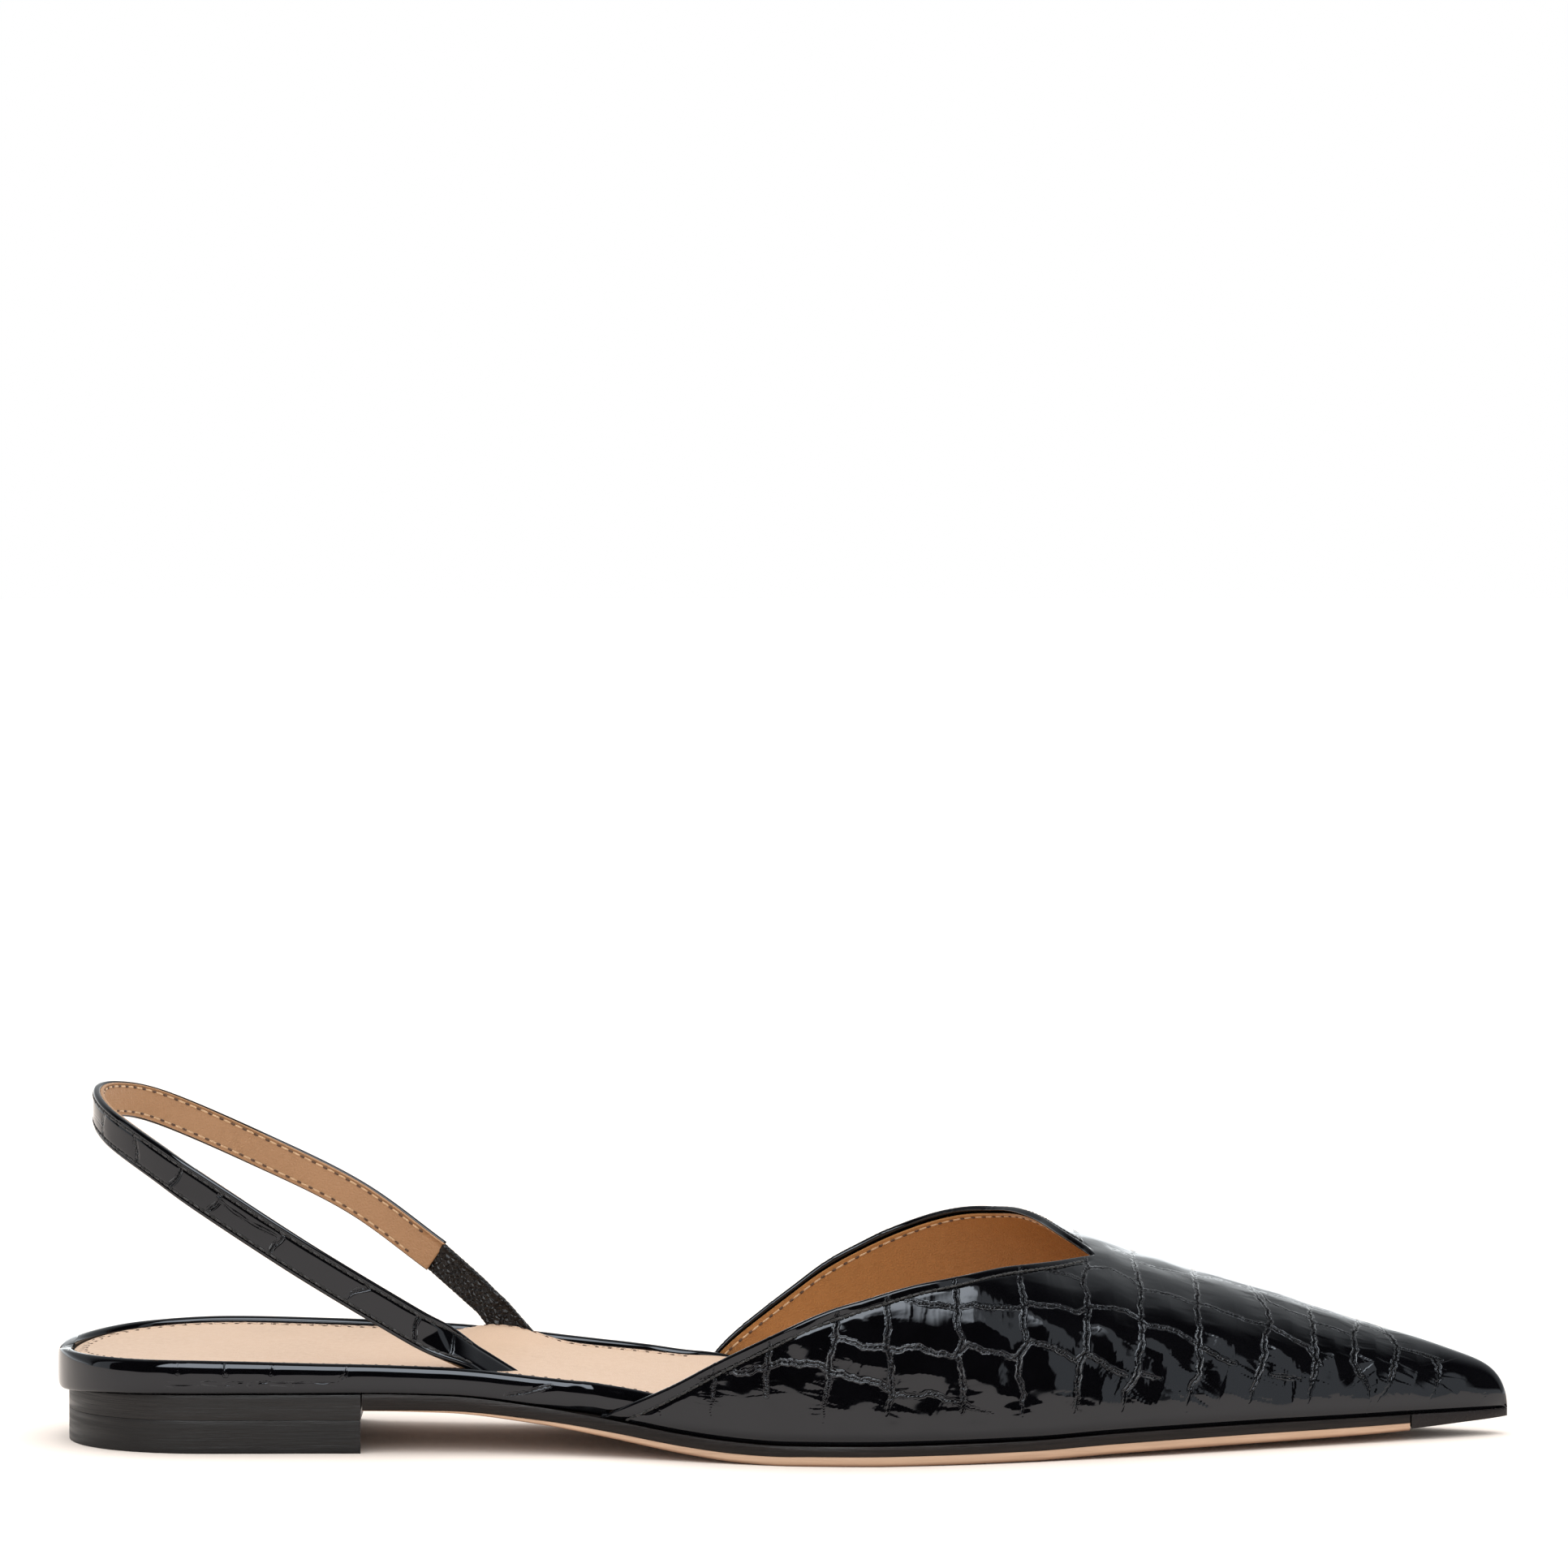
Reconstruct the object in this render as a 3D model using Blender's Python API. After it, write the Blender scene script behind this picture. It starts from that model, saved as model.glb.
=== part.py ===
"""Pointed sling back flat, right shoe: vamp, footbed, sock, sole, low heel, sling strap and its elastic.

Metres. +X runs to the toe, +Y to the medial side (the inner side of a right foot), +Z up.
The origin lies on the floor under the middle of the shoe's box.
"""
from collections import namedtuple
from math import pi, radians, sin

import bpy
import bmesh
import numpy as np
from mathutils import Vector

# Driving sizes
LENGTH = 0.270
BALL_WIDTH = 0.080
HEEL_RISE = 0.0078
TOE_SPRING = 0.0030
SOLE_THICK = 0.0034
HEEL_LENGTH = 0.0575
TOP_PIECE_HEIGHT = 0.0061
BREAST_HOLLOW = 0.0008
TIP_LENGTH = 0.0190
TIP_STEP = 0.0003
FOOTBED_THICK = 0.0064
RIM_WIDTH = 0.0026
RIM_DEPTH = 0.0019
RAND_TUCK = 0.0014
SEAT_OVERHANG = 0.0020
SIDE_OVERHANG = 0.0012
SOCK_THICK = 0.0009
SOCK_DISH = 0.0006
THROAT_RISE = 0.0323
UPPER_WALL = 0.0015
TURN_UNDER = 0.0010
TURN_HEIGHT = 0.0025
STRAP_WIDTH = 0.0066
STRAP_THICK = 0.0019
LOOP_HEIGHT = 0.0620
LOOP_HALF_WIDTH = 0.0265
ELASTIC_WIDTH = 0.0060
ELASTIC_THICK = 0.0013
GAP = 0.0003

# Shares that shape small edges and keep them inside thin sections
SOLE_CHAMFER = 0.15
WIDTH_LIMIT = 0.3
RISE_LIMIT = 0.4
TUCK_LIMIT = 0.1
RIDGE_LIMIT = 0.2
BAND_CHAMFER = 0.25

# Last station of a round end, in degrees of a quarter turn
END_DEGREES = 87.84

# Places along the shoe as shares of its length from the back: where the toe and the heel begin to round,
# and where the footbed and the sock end inside the toe
PLACES = {"nose": 0.9667, "heel": 0.111, "footbed": 0.955, "sock": 0.925}

# Plan of the sole: along is a share of the length from the back, the sides are shares of the ball width
Plan = namedtuple("Plan", "along lateral medial")
SOLE_PLAN = [
    Plan(0.000, 0.279, 0.366),
    Plan(0.111, 0.279, 0.362),
    Plan(0.185, 0.275, 0.340),
    Plan(0.270, 0.274, 0.283),
    Plan(0.333, 0.300, 0.255),
    Plan(0.389, 0.355, 0.278),
    Plan(0.456, 0.438, 0.350),
    Plan(0.511, 0.488, 0.418),
    Plan(0.556, 0.498, 0.465),
    Plan(0.604, 0.477, 0.497),
    Plan(0.656, 0.432, 0.484),
    Plan(0.707, 0.372, 0.445),
    Plan(0.767, 0.294, 0.392),
    Plan(0.833, 0.202, 0.326),
    Plan(0.893, 0.114, 0.257),
    Plan(0.944, 0.036, 0.182),
    Plan(1.000, -0.053, 0.102),
]

# Side view of the sole: arch is a share of the heel rise, spring of the toe spring, thick of the sole
Side = namedtuple("Side", "along arch spring thick")
SOLE_SIDE = [
    Side(0.000, 0.846, 0.00, 0.853),
    Side(0.048, 0.965, 0.00, 0.853),
    Side(0.111, 1.000, 0.00, 0.853),
    Side(0.215, 1.000, 0.00, 0.853),
    Side(0.270, 0.955, 0.00, 0.853),
    Side(0.333, 0.730, 0.00, 0.860),
    Side(0.381, 0.474, 0.00, 0.910),
    Side(0.433, 0.180, 0.00, 0.960),
    Side(0.470, 0.040, 0.00, 1.000),
    Side(0.500, 0.000, 0.00, 1.000),
    Side(0.667, 0.000, 0.09, 1.000),
    Side(0.722, 0.000, 0.26, 1.000),
    Side(0.815, 0.000, 0.42, 0.970),
    Side(0.889, 0.000, 0.52, 0.880),
    Side(0.930, 0.000, 0.63, 0.790),
    Side(0.974, 0.000, 0.87, 0.560),
    Side(1.000, 0.000, 1.00, 0.440),
]

# Footbed: rim heights as shares of its thickness, overhang as a share of the side overhang,
# tucks as shares of the room that the vamp's wall needs, rim as a share of the rim's width and depth
Bed = namedtuple("Bed", "along lateral medial overhang lateral_tuck medial_tuck rim")
FOOTBED = [
    Bed(0.000, 1.20, 1.20, 1.0, 0.0, 0.0, 1.00),
    Bed(0.048, 1.06, 1.28, 1.0, 0.0, 0.0, 1.00),
    Bed(0.119, 1.00, 1.34, 1.0, 0.0, 0.0, 1.00),
    Bed(0.215, 0.89, 1.30, 0.7, 0.0, 0.0, 1.00),
    Bed(0.278, 0.85, 1.30, 0.4, 0.0, 0.0, 1.00),
    Bed(0.326, 0.88, 1.36, 0.1, 0.0, 0.0, 1.00),
    Bed(0.352, 0.91, 1.37, 0.0, 0.3, 0.0, 1.00),
    Bed(0.370, 0.94, 1.38, 0.0, 1.0, 0.0, 1.00),
    Bed(0.405, 0.98, 1.40, 0.0, 1.0, 0.0, 0.95),
    Bed(0.441, 0.85, 1.40, 0.0, 1.0, 1.0, 0.80),
    Bed(0.500, 0.55, 1.00, 0.0, 1.0, 1.0, 0.45),
    Bed(0.560, 0.38, 0.50, 0.0, 1.0, 1.0, 0.30),
    Bed(0.620, 0.34, 0.34, 0.0, 1.0, 1.0, 0.25),
    Bed(0.960, 0.28, 0.28, 0.0, 1.0, 1.0, 0.20),
]

# Side of the rand from its foot up: share of its tuck and of its height
RAND_SIDE = [(1.0, 0.0), (0.40, 0.16), (0.08, 0.38), (0.0, 0.60), (0.04, 0.82)]

# Back wall of the sock's recess, as a share of the rim's width, and the shoulder that it rises to,
# as a share of the recess's depth
BACK_WALL = 0.9
BACK_SHOULDER = 0.25
LEVEL_SLACK = 0.0001

# Rolled rim of the rand: share of the rim's width, then drop as a share of the rand's height and of the recess
RIM_ROLL = [(0.12, 0.08, 0.0), (0.50, 0.0, 0.0), (0.88, 0.0, 0.25)]

# Vamp: rise of the ridge over the sole as a share of the rise at the throat's point,
# ridge place across as a share of the ball width
Vamp = namedtuple("Vamp", "along rise ridge")
VAMP = [
    Vamp(0.376, 1.710, 0.100),
    Vamp(0.463, 1.700, 0.100),
    Vamp(0.537, 1.560, 0.100),
    Vamp(0.611, 1.353, 0.100),
    Vamp(0.670, 1.149, 0.100),
    Vamp(0.713, 1.000, 0.100),
    Vamp(0.767, 0.842, 0.098),
    Vamp(0.833, 0.680, 0.094),
    Vamp(0.900, 0.503, 0.088),
    Vamp(0.944, 0.389, 0.083),
    Vamp(0.967, 0.320, 0.080),
    Vamp(1.000, 0.225, 0.077),
]

# Powers of the vamp's section: how round it is over the ridge, and how upright its sides stand
ROUNDNESS = 2.2
UPRIGHT = 3.2

# Toplines: girth runs from 0 at the lateral feather edge over the ridge to 1 at the medial one
Edge = namedtuple("Edge", "along girth")
LATERAL_TOPLINE = [
    Edge(0.376, 0.002),
    Edge(0.412, 0.031),
    Edge(0.463, 0.0805),
    Edge(0.486, 0.1025),
    Edge(0.523, 0.1405),
    Edge(0.561, 0.175),
    Edge(0.589, 0.2035),
    Edge(0.618, 0.2333),
    Edge(0.651, 0.279),
    Edge(0.686, 0.333),
    Edge(0.713, 0.3955),
]
MEDIAL_TOPLINE = [
    Edge(0.446, 0.968),
    Edge(0.460, 0.945),
    Edge(0.485, 0.911),
    Edge(0.505, 0.883),
    Edge(0.525, 0.852),
    Edge(0.560, 0.801),
    Edge(0.594, 0.7435),
    Edge(0.628, 0.6726),
    Edge(0.6485, 0.622),
    Edge(0.671, 0.528),
    Edge(0.691, 0.455),
    Edge(0.7065, 0.4167),
    Edge(0.713, 0.3955),
]

# Sling strap's middle line from its lateral foot round the heel to the elastic, then the elastic's:
# shares of the length from the back, of the loop's half width and of the loop's height
Line = namedtuple("Line", "along across up")
STRAP_LINE = [
    Line(0.2900, -0.700, 0.267),
    Line(0.2750, -0.720, 0.309),
    Line(0.2430, -0.765, 0.390),
    Line(0.1778, -0.845, 0.567),
    Line(0.1111, -0.800, 0.755),
    Line(0.0775, -0.664, 0.850),
    Line(0.0410, -0.340, 0.947),
    Line(0.0285, 0.080, 0.995),
    Line(0.0375, 0.450, 1.002),
    Line(0.0665, 0.775, 0.961),
    Line(0.1307, 0.985, 0.829),
    Line(0.1993, 0.980, 0.680),
    Line(0.2570, 0.900, 0.502),
]
ELASTIC_LINE = [
    Line(0.2570, 0.900, 0.502),
    Line(0.2850, 0.755, 0.402),
    Line(0.2965, 0.680, 0.357),
    Line(0.3068, 0.652, 0.308),
]

# Rows of the vamp's grid
LATERAL_ROWS = 16
MEDIAL_ROWS = 14
TOE_ROWS = 18
NOSE_ROWS = 8
HALF_GIRTH = 9

NOSE_START = PLACES["nose"]
NOSE_POWER = 4.0
HEEL_ROUND = PLACES["heel"]
HEEL_POWER = 2.2

COLOURS = {
    "patent": ((0.012, 0.012, 0.014, 1.0), 0.12),
    "sock_leather": ((0.840, 0.640, 0.500, 1.0), 0.55),
    "sole_leather": ((0.700, 0.440, 0.270, 1.0), 0.60),
    "heel_leather": ((0.026, 0.024, 0.024, 1.0), 0.40),
    "top_piece_rubber": ((0.018, 0.017, 0.017, 1.0), 0.60),
    "tip_rubber": ((0.020, 0.016, 0.014, 1.0), 0.60),
    "elastic": ((0.016, 0.014, 0.014, 1.0), 0.65),
}


def clear_scene():
    for thing in list(bpy.data.objects):
        bpy.data.objects.remove(thing, do_unlink=True)


def make_material(name, colour, roughness):
    material = bpy.data.materials.new(name)
    material.use_nodes = True
    shader = material.node_tree.nodes["Principled BSDF"]
    shader.inputs["Base Color"].default_value = colour
    shader.inputs["Roughness"].default_value = roughness
    shader.inputs["Metallic"].default_value = 0.0
    return material


def smooth(rows, column, along):
    """Smooth curve through a table's column that never overshoots its rows."""
    xs = np.array([row.along for row in rows])
    ys = np.array([getattr(row, column) for row in rows])
    step = np.diff(xs)
    slope = np.diff(ys) / step
    tangent = np.zeros(len(xs))
    tangent[0] = slope[0]
    tangent[-1] = slope[-1]
    for i in range(1, len(xs) - 1):
        if slope[i - 1] * slope[i] > 0.0:
            before = 2.0 * step[i] + step[i - 1]
            after = step[i] + 2.0 * step[i - 1]
            tangent[i] = (before + after) / (before / slope[i - 1] + after / slope[i])
    along = min(max(along, xs[0]), xs[-1])
    i = min(int(np.searchsorted(xs, along, side="right")) - 1, len(step) - 1)
    t = (along - xs[i]) / step[i]
    rest = 1.0 - t
    return (ys[i] * rest * rest * (1.0 + 2.0 * t) + ys[i + 1] * t * t * (3.0 - 2.0 * t)
            + step[i] * (tangent[i] * t * rest * rest - tangent[i + 1] * t * t * rest))


def x_at(along):
    return (along - 0.5) * LENGTH


def along_at(x):
    return x / LENGTH + 0.5


def round_end(t, power):
    """Factor on a width that closes an outline in a round end, 1 at t = 0 and 0 at t = 1."""
    return max(1.0 - max(t, 0.0) ** power, 0.0) ** (1.0 / min(power, HEEL_POWER))


def nose(along, shorter=0.0):
    """Factor that closes the toe, with the end drawn back by a distance."""
    reach = (1.0 - NOSE_START) * LENGTH - shorter
    return round_end((along - NOSE_START) * LENGTH / reach, NOSE_POWER)


def plan(x, grow_lateral=0.0, grow_medial=0.0, back=0.0, toe=0.0):
    """Lateral and medial edge of the sole at x, grown outward, with the back end moved forward."""
    along = along_at(x)
    lateral = -BALL_WIDTH * smooth(SOLE_PLAN, "lateral", along) - grow_lateral
    medial = BALL_WIDTH * smooth(SOLE_PLAN, "medial", along) + grow_medial
    middle = 0.5 * (lateral + medial)
    t = (HEEL_ROUND - along) / (HEEL_ROUND - back / LENGTH)
    half = 0.5 * (medial - lateral) * round_end(t, HEEL_POWER) * nose(along, toe)
    return middle - half, middle + half


def underside(x):
    along = along_at(x)
    return HEEL_RISE * smooth(SOLE_SIDE, "arch", along) + TOE_SPRING * smooth(SOLE_SIDE, "spring", along)


def sole_top(x):
    return underside(x) + SOLE_THICK * smooth(SOLE_SIDE, "thick", along_at(x))


def make_object(name, bm, material):
    bmesh.ops.recalc_face_normals(bm, faces=bm.faces)
    mesh = bpy.data.meshes.new(name)
    bm.to_mesh(mesh)
    bm.free()
    mesh.shade_smooth()
    mesh.set_sharp_from_angle(angle=pi / 5.0)
    mesh.materials.append(material)
    thing = bpy.data.objects.new(name, mesh)
    bpy.context.scene.collection.objects.link(thing)
    return thing


def loft(name, rings, material):
    """Closed solid through rings of equal length, with flat ends."""
    bm = bmesh.new()
    loops = [[bm.verts.new(point) for point in ring] for ring in rings]
    count = len(loops[0])
    for near, far in zip(loops, loops[1:]):
        for i in range(count):
            j = (i + 1) % count
            bm.faces.new((near[i], near[j], far[j], far[i]))
    bm.faces.new(loops[0])
    bm.faces.new(list(reversed(loops[-1])))
    return make_object(name, bm, material)


def slab(name, stations, ring, material):
    return loft(name, [[(x, y, z) for y, z in ring(x)] for x in stations], material)


def spread(start, end, count):
    return [start + (end - start) * i / count for i in range(count + 1)]


def round_stations(start, end, count):
    """Stations that crowd toward the end, for a round end there."""
    last = radians(END_DEGREES)
    return [start + (end - start) * sin(last * i / count) for i in range(count + 1)]


def heel_ring(bottom, top):
    def ring(x):
        low, high = plan(x, back=SEAT_OVERHANG)
        return [(low, bottom(x)), (high, bottom(x)), (high, top(x)), (low, top(x))]
    return ring


def heel_stations():
    breast = x_at(0.0) + HEEL_LENGTH
    turn = x_at(HEEL_ROUND)
    back = x_at(0.0) + SEAT_OVERHANG
    return list(reversed(round_stations(turn, back, 12))) + spread(turn, breast, 3)[1:]


def heel_block(name, bottom, top, material):
    """Heel layer: a loft with its breast hollowed in plan."""
    stations = heel_stations()
    thing = slab(name, stations, heel_ring(bottom, top), material)
    bm = bmesh.new()
    bm.from_mesh(thing.data)
    breast = stations[-1]
    front = [edge for edge in bm.edges
             if all(abs(v.co.x - breast) < 1e-6 for v in edge.verts)
             and abs(edge.verts[0].co.z - edge.verts[1].co.z) < 1e-6]
    bmesh.ops.subdivide_edges(bm, edges=front, cuts=7, use_grid_fill=True)
    low, high = plan(breast, back=SEAT_OVERHANG)
    for vert in bm.verts:
        if abs(vert.co.x - breast) < 1e-6:
            share = (vert.co.y - low) / (high - low)
            vert.co.x -= BREAST_HOLLOW * sin(pi * share)
    bmesh.ops.triangulate(bm, faces=bm.faces)
    bmesh.ops.recalc_face_normals(bm, faces=bm.faces)
    bm.to_mesh(thing.data)
    bm.free()
    thing.data.set_sharp_from_angle(angle=pi / 5.0)
    return thing


def heel(materials):
    def seat(x):
        return sole_top(x) - GAP

    heel_block("heel_stack", lambda x: TOP_PIECE_HEIGHT + GAP, seat, materials["heel_leather"])
    heel_block("heel_top_piece", lambda x: 0.0, lambda x: TOP_PIECE_HEIGHT, materials["top_piece_rubber"])


def sole_ring(step=0.0):
    chamfer = SOLE_CHAMFER * SOLE_THICK

    def ring(x):
        low, high = plan(x)
        bottom = underside(x) + step
        top = sole_top(x)
        inset = min(chamfer, WIDTH_LIMIT * (high - low))
        rise = min(chamfer, RISE_LIMIT * (top - bottom))
        return [(low + inset, bottom), (high - inset, bottom), (high, bottom + rise),
                (high, top), (low, top), (low, bottom + rise)]
    return ring


def sole(materials):
    breast = x_at(0.0) + HEEL_LENGTH + GAP
    joint = x_at(1.0) - TIP_LENGTH
    slab("outsole", spread(breast, joint, 36), sole_ring(), materials["sole_leather"])
    turn = x_at(NOSE_START)
    stations = spread(joint + GAP, turn, 4) + round_stations(turn, x_at(1.0), 8)[1:]
    slab("toe_tip", stations, sole_ring(TIP_STEP), materials["tip_rubber"])


def bed_plan(x):
    along = along_at(x)
    room = TURN_UNDER + UPPER_WALL + GAP
    overhang = SIDE_OVERHANG * smooth(FOOTBED, "overhang", along)
    lateral = overhang - room * smooth(FOOTBED, "lateral_tuck", along)
    medial = overhang - room * smooth(FOOTBED, "medial_tuck", along)
    return plan(x, lateral, medial, toe=room)


def bed_heights(x):
    """Rim heights, lateral and medial, and the depth of the recess for the sock."""
    along = along_at(x)
    base = sole_top(x)
    lateral = base + FOOTBED_THICK * smooth(FOOTBED, "lateral", along)
    medial = base + FOOTBED_THICK * smooth(FOOTBED, "medial", along)
    return lateral, medial, RIM_DEPTH * rim_share(along)


def rim_share(along):
    return smooth(FOOTBED, "rim", along)


def recess(x, inset=0.0):
    """Recess in the footbed's top: edges, moved inward, and a height across it."""
    low, high = bed_plan(x)
    rim = min(RIM_WIDTH * rim_share(along_at(x)), WIDTH_LIMIT * (high - low))
    lateral, medial, depth = bed_heights(x)
    left = low + rim + inset
    right = high - rim - inset
    sunk = x - x_at(0.0) > BACK_WALL * RIM_WIDTH + LEVEL_SLACK

    def height(y):
        share = (y - low) / (high - low)
        level = lateral + (medial - lateral) * share
        if not sunk:
            return level - BACK_SHOULDER * depth
        return level - depth - SOCK_DISH * 4.0 * share * (1.0 - share)
    return left, right, height


def bed_ring(x):
    low, high = bed_plan(x)
    width = high - low
    rim = min(RIM_WIDTH * rim_share(along_at(x)), WIDTH_LIMIT * width)
    lateral, medial, depth = bed_heights(x)
    bottom = sole_top(x) + GAP
    left, right, height = recess(x)
    tuck = min(RAND_TUCK, TUCK_LIMIT * width)
    outer = []
    for edge, inward, top in ((low, 1.0, lateral), (high, -1.0, medial)):
        tall = top - bottom
        outer.append([(edge + inward * share * tuck, bottom + up * tall) for share, up in RAND_SIDE]
                     + [(edge + inward * share * rim, top - side * tall - recessed * depth)
                        for share, side, recessed in RIM_ROLL])
    across = [left + (right - left) * i / 4.0 for i in range(5)]
    floor = [(y, height(y)) for y in across]
    return outer[0] + floor + list(reversed(outer[1]))


def footbed(materials):
    back = x_at(0.0)
    turn = x_at(HEEL_ROUND)
    front = x_at(PLACES["footbed"])
    stations = list(reversed(round_stations(turn, back, 12))) + spread(turn, front, 40)[1:]
    stations = sorted(stations + [back + BACK_WALL * RIM_WIDTH])
    slab("footbed", stations, bed_ring, materials["patent"])


def sock_ring(x):
    left, right, height = recess(x, GAP)
    across = [left + (right - left) * i / 6.0 for i in range(7)]
    bottom = [(y, height(y) + GAP) for y in across]
    top = [(y, height(y) + GAP + SOCK_THICK) for y in reversed(across)]
    return bottom + top


def sock(materials):
    turn = x_at(HEEL_ROUND)
    back = x_at(0.0) + RIM_WIDTH + GAP
    front = x_at(PLACES["sock"])
    stations = list(reversed(round_stations(turn, back, 10))) + spread(turn, front, 44)[1:]
    slab("sock", stations, sock_ring, materials["sock_leather"])


def vamp_point(x, girth, wall=0.0):
    """Point of the upper's surface, or of its lining where a wall is given."""
    along = along_at(x)
    grow = -wall
    low, high = plan(x, grow, grow, toe=wall)
    base = sole_top(x) + GAP
    rise = (THROAT_RISE * smooth(VAMP, "rise", along) - wall) * nose(along, wall)
    ridge = BALL_WIDTH * smooth(VAMP, "ridge", along)
    margin = RIDGE_LIMIT * (high - low)
    ridge = min(max(ridge, low + margin), high - margin)
    tall = max(sin(pi * girth), 0.0) ** (2.0 / ROUNDNESS)
    wide = max(1.0 - tall ** UPRIGHT, 0.0) ** (1.0 / ROUNDNESS)
    edge = low if girth < 0.5 else high
    turn = max(1.0 - tall * rise / TURN_HEIGHT, 0.0)
    tuck = min(TURN_UNDER, WIDTH_LIMIT * (high - low)) * turn * turn
    edge += tuck if girth < 0.5 else -tuck
    return x, ridge + (edge - ridge) * wide, base + rise * tall


def seam_girth(x):
    """Girth of the line where both halves meet, from the throat's point over to the ridge."""
    point = LATERAL_TOPLINE[-1]
    share = min((along_at(x) - point.along) / (NOSE_START - point.along), 1.0)
    return point.girth + (0.5 - point.girth) * share


def vamp_surface(bm, wall):
    """Grid of one face of the upper, as rows of vertices across for each of its three fields."""
    point = x_at(LATERAL_TOPLINE[-1].along)
    turn = x_at(NOSE_START)
    end = x_at(1.0) - wall

    def row(x, start, stop, count):
        return [bm.verts.new(vamp_point(x, start + (stop - start) * i / count, wall)) for i in range(count + 1)]

    lateral = []
    for x in spread(x_at(LATERAL_TOPLINE[0].along), point, LATERAL_ROWS)[:-1]:
        lateral.append(row(x, 0.0, smooth(LATERAL_TOPLINE, "girth", along_at(x)), HALF_GIRTH))
    medial = []
    for x in spread(x_at(MEDIAL_TOPLINE[0].along), point, MEDIAL_ROWS)[:-1]:
        medial.append(row(x, smooth(MEDIAL_TOPLINE, "girth", along_at(x)), 1.0, HALF_GIRTH))
    whole = []
    for x in spread(point, turn, TOE_ROWS) + round_stations(turn, end, NOSE_ROWS)[1:]:
        seam = seam_girth(x)
        near = row(x, 0.0, seam, HALF_GIRTH)
        far = row(x, seam, 1.0, HALF_GIRTH)
        bm.verts.remove(far[0])
        whole.append(near + far[1:])
    lateral.append(whole[0][:HALF_GIRTH + 1])
    medial.append(whole[0][HALF_GIRTH:])
    return lateral, medial, whole


def skin(bm, rows):
    for near, far in zip(rows, rows[1:]):
        for i in range(len(near) - 1):
            bm.faces.new((near[i], near[i + 1], far[i + 1], far[i]))


def join(bm, one, other):
    """Strip of faces between two lines of vertices."""
    for i in range(len(one) - 1):
        bm.faces.new((one[i], one[i + 1], other[i + 1], other[i]))


def vamp(materials):
    """Upper as one hollow wall, open at the throat and underneath."""
    bm = bmesh.new()
    outer = vamp_surface(bm, 0.0)
    inner = vamp_surface(bm, UPPER_WALL)
    for fields in (outer, inner):
        for rows in fields:
            skin(bm, rows)
    for side, top in ((0, -1), (1, 0)):
        join(bm, [row[top] for row in outer[side]], [row[top] for row in inner[side]])
        foot = 0 if top else -1
        join(bm, [row[foot] for row in outer[side]], [row[foot] for row in inner[side]])
        join(bm, outer[side][0], inner[side][0])
    for foot in (0, -1):
        join(bm, [row[foot] for row in outer[2]], [row[foot] for row in inner[2]])
    bm.faces.new(outer[2][-1])
    bm.faces.new(inner[2][-1])
    bm.faces.new((outer[2][-1][0], outer[2][-1][-1], inner[2][-1][-1], inner[2][-1][0]))
    make_object("vamp", bm, materials["patent"])


def path_through(rows, steps):
    """Points on a smooth curve through a line's own points, with steps between two of them."""
    points = [Vector((x_at(row.along), LOOP_HALF_WIDTH * row.across, LOOP_HEIGHT * row.up)) for row in rows]
    points = [2.0 * points[0] - points[1]] + points + [2.0 * points[-1] - points[-2]]
    path = []
    for i in range(1, len(points) - 2):
        before, start, end, after = points[i - 1:i + 3]
        for k in range(steps):
            t = k / steps
            path.append(0.5 * (2.0 * start + (end - before) * t
                               + (2.0 * before - 5.0 * start + 4.0 * end - after) * t * t
                               + (3.0 * start - before - 3.0 * end + after) * t * t * t))
    return path + [points[-2]]


def band_rings(path, width, thick):
    """Rectangles across a path, their long side as upright as the path lets it stand."""
    up = Vector((0.0, 0.0, 1.0))
    corner = BAND_CHAMFER * thick
    rings = []
    for i, point in enumerate(path):
        along = (path[min(i + 1, len(path) - 1)] - path[max(i - 1, 0)]).normalized()
        tall = (up - along * along.z).normalized()
        side = along.cross(tall)
        half_w, half_t = 0.5 * width, 0.5 * thick
        outline = [(-half_w + corner, -half_t), (half_w - corner, -half_t), (half_w, -half_t + corner),
                   (half_w, half_t - corner), (half_w - corner, half_t), (-half_w + corner, half_t),
                   (-half_w, half_t - corner), (-half_w, -half_t + corner)]
        rings.append([point + tall * a + side * b for a, b in outline])
    return rings


def seat_ring(ring, along, floor):
    """Slides a band's end ring along the band until each corner stands on a height."""
    return [point + along * ((floor(point) - point.z) / along.z) for point in ring]


def sock_top(point):
    height = recess(point.x)[2]
    return height(point.y) + SOCK_THICK + 2.0 * GAP


def straps(materials):
    path = path_through(STRAP_LINE, 4)
    rings = band_rings(path, STRAP_WIDTH, STRAP_THICK)
    rings[0] = seat_ring(rings[0], (path[1] - path[0]).normalized(), sock_top)
    loft("sling_strap", rings, materials["patent"])
    path = path_through(ELASTIC_LINE, 3)
    path[0] = path[0] + GAP * (path[1] - path[0]).normalized()
    rings = band_rings(path, ELASTIC_WIDTH, ELASTIC_THICK)
    rings[-1] = seat_ring(rings[-1], (path[-1] - path[-2]).normalized(), sock_top)
    loft("strap_elastic", rings, materials["elastic"])


def main():
    clear_scene()
    materials = {name: make_material(name, *finish) for name, finish in COLOURS.items()}
    heel(materials)
    sole(materials)
    footbed(materials)
    sock(materials)
    vamp(materials)
    straps(materials)


main()
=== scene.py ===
"""Looks of the sling back flat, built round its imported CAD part.

Metres, in the part's frame: +X runs to the toe, +Y to the medial side, +Z up.
"""
from collections import namedtuple
from math import pi

import bpy
import numpy as np
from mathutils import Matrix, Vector
from mathutils.kdtree import KDTree


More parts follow.
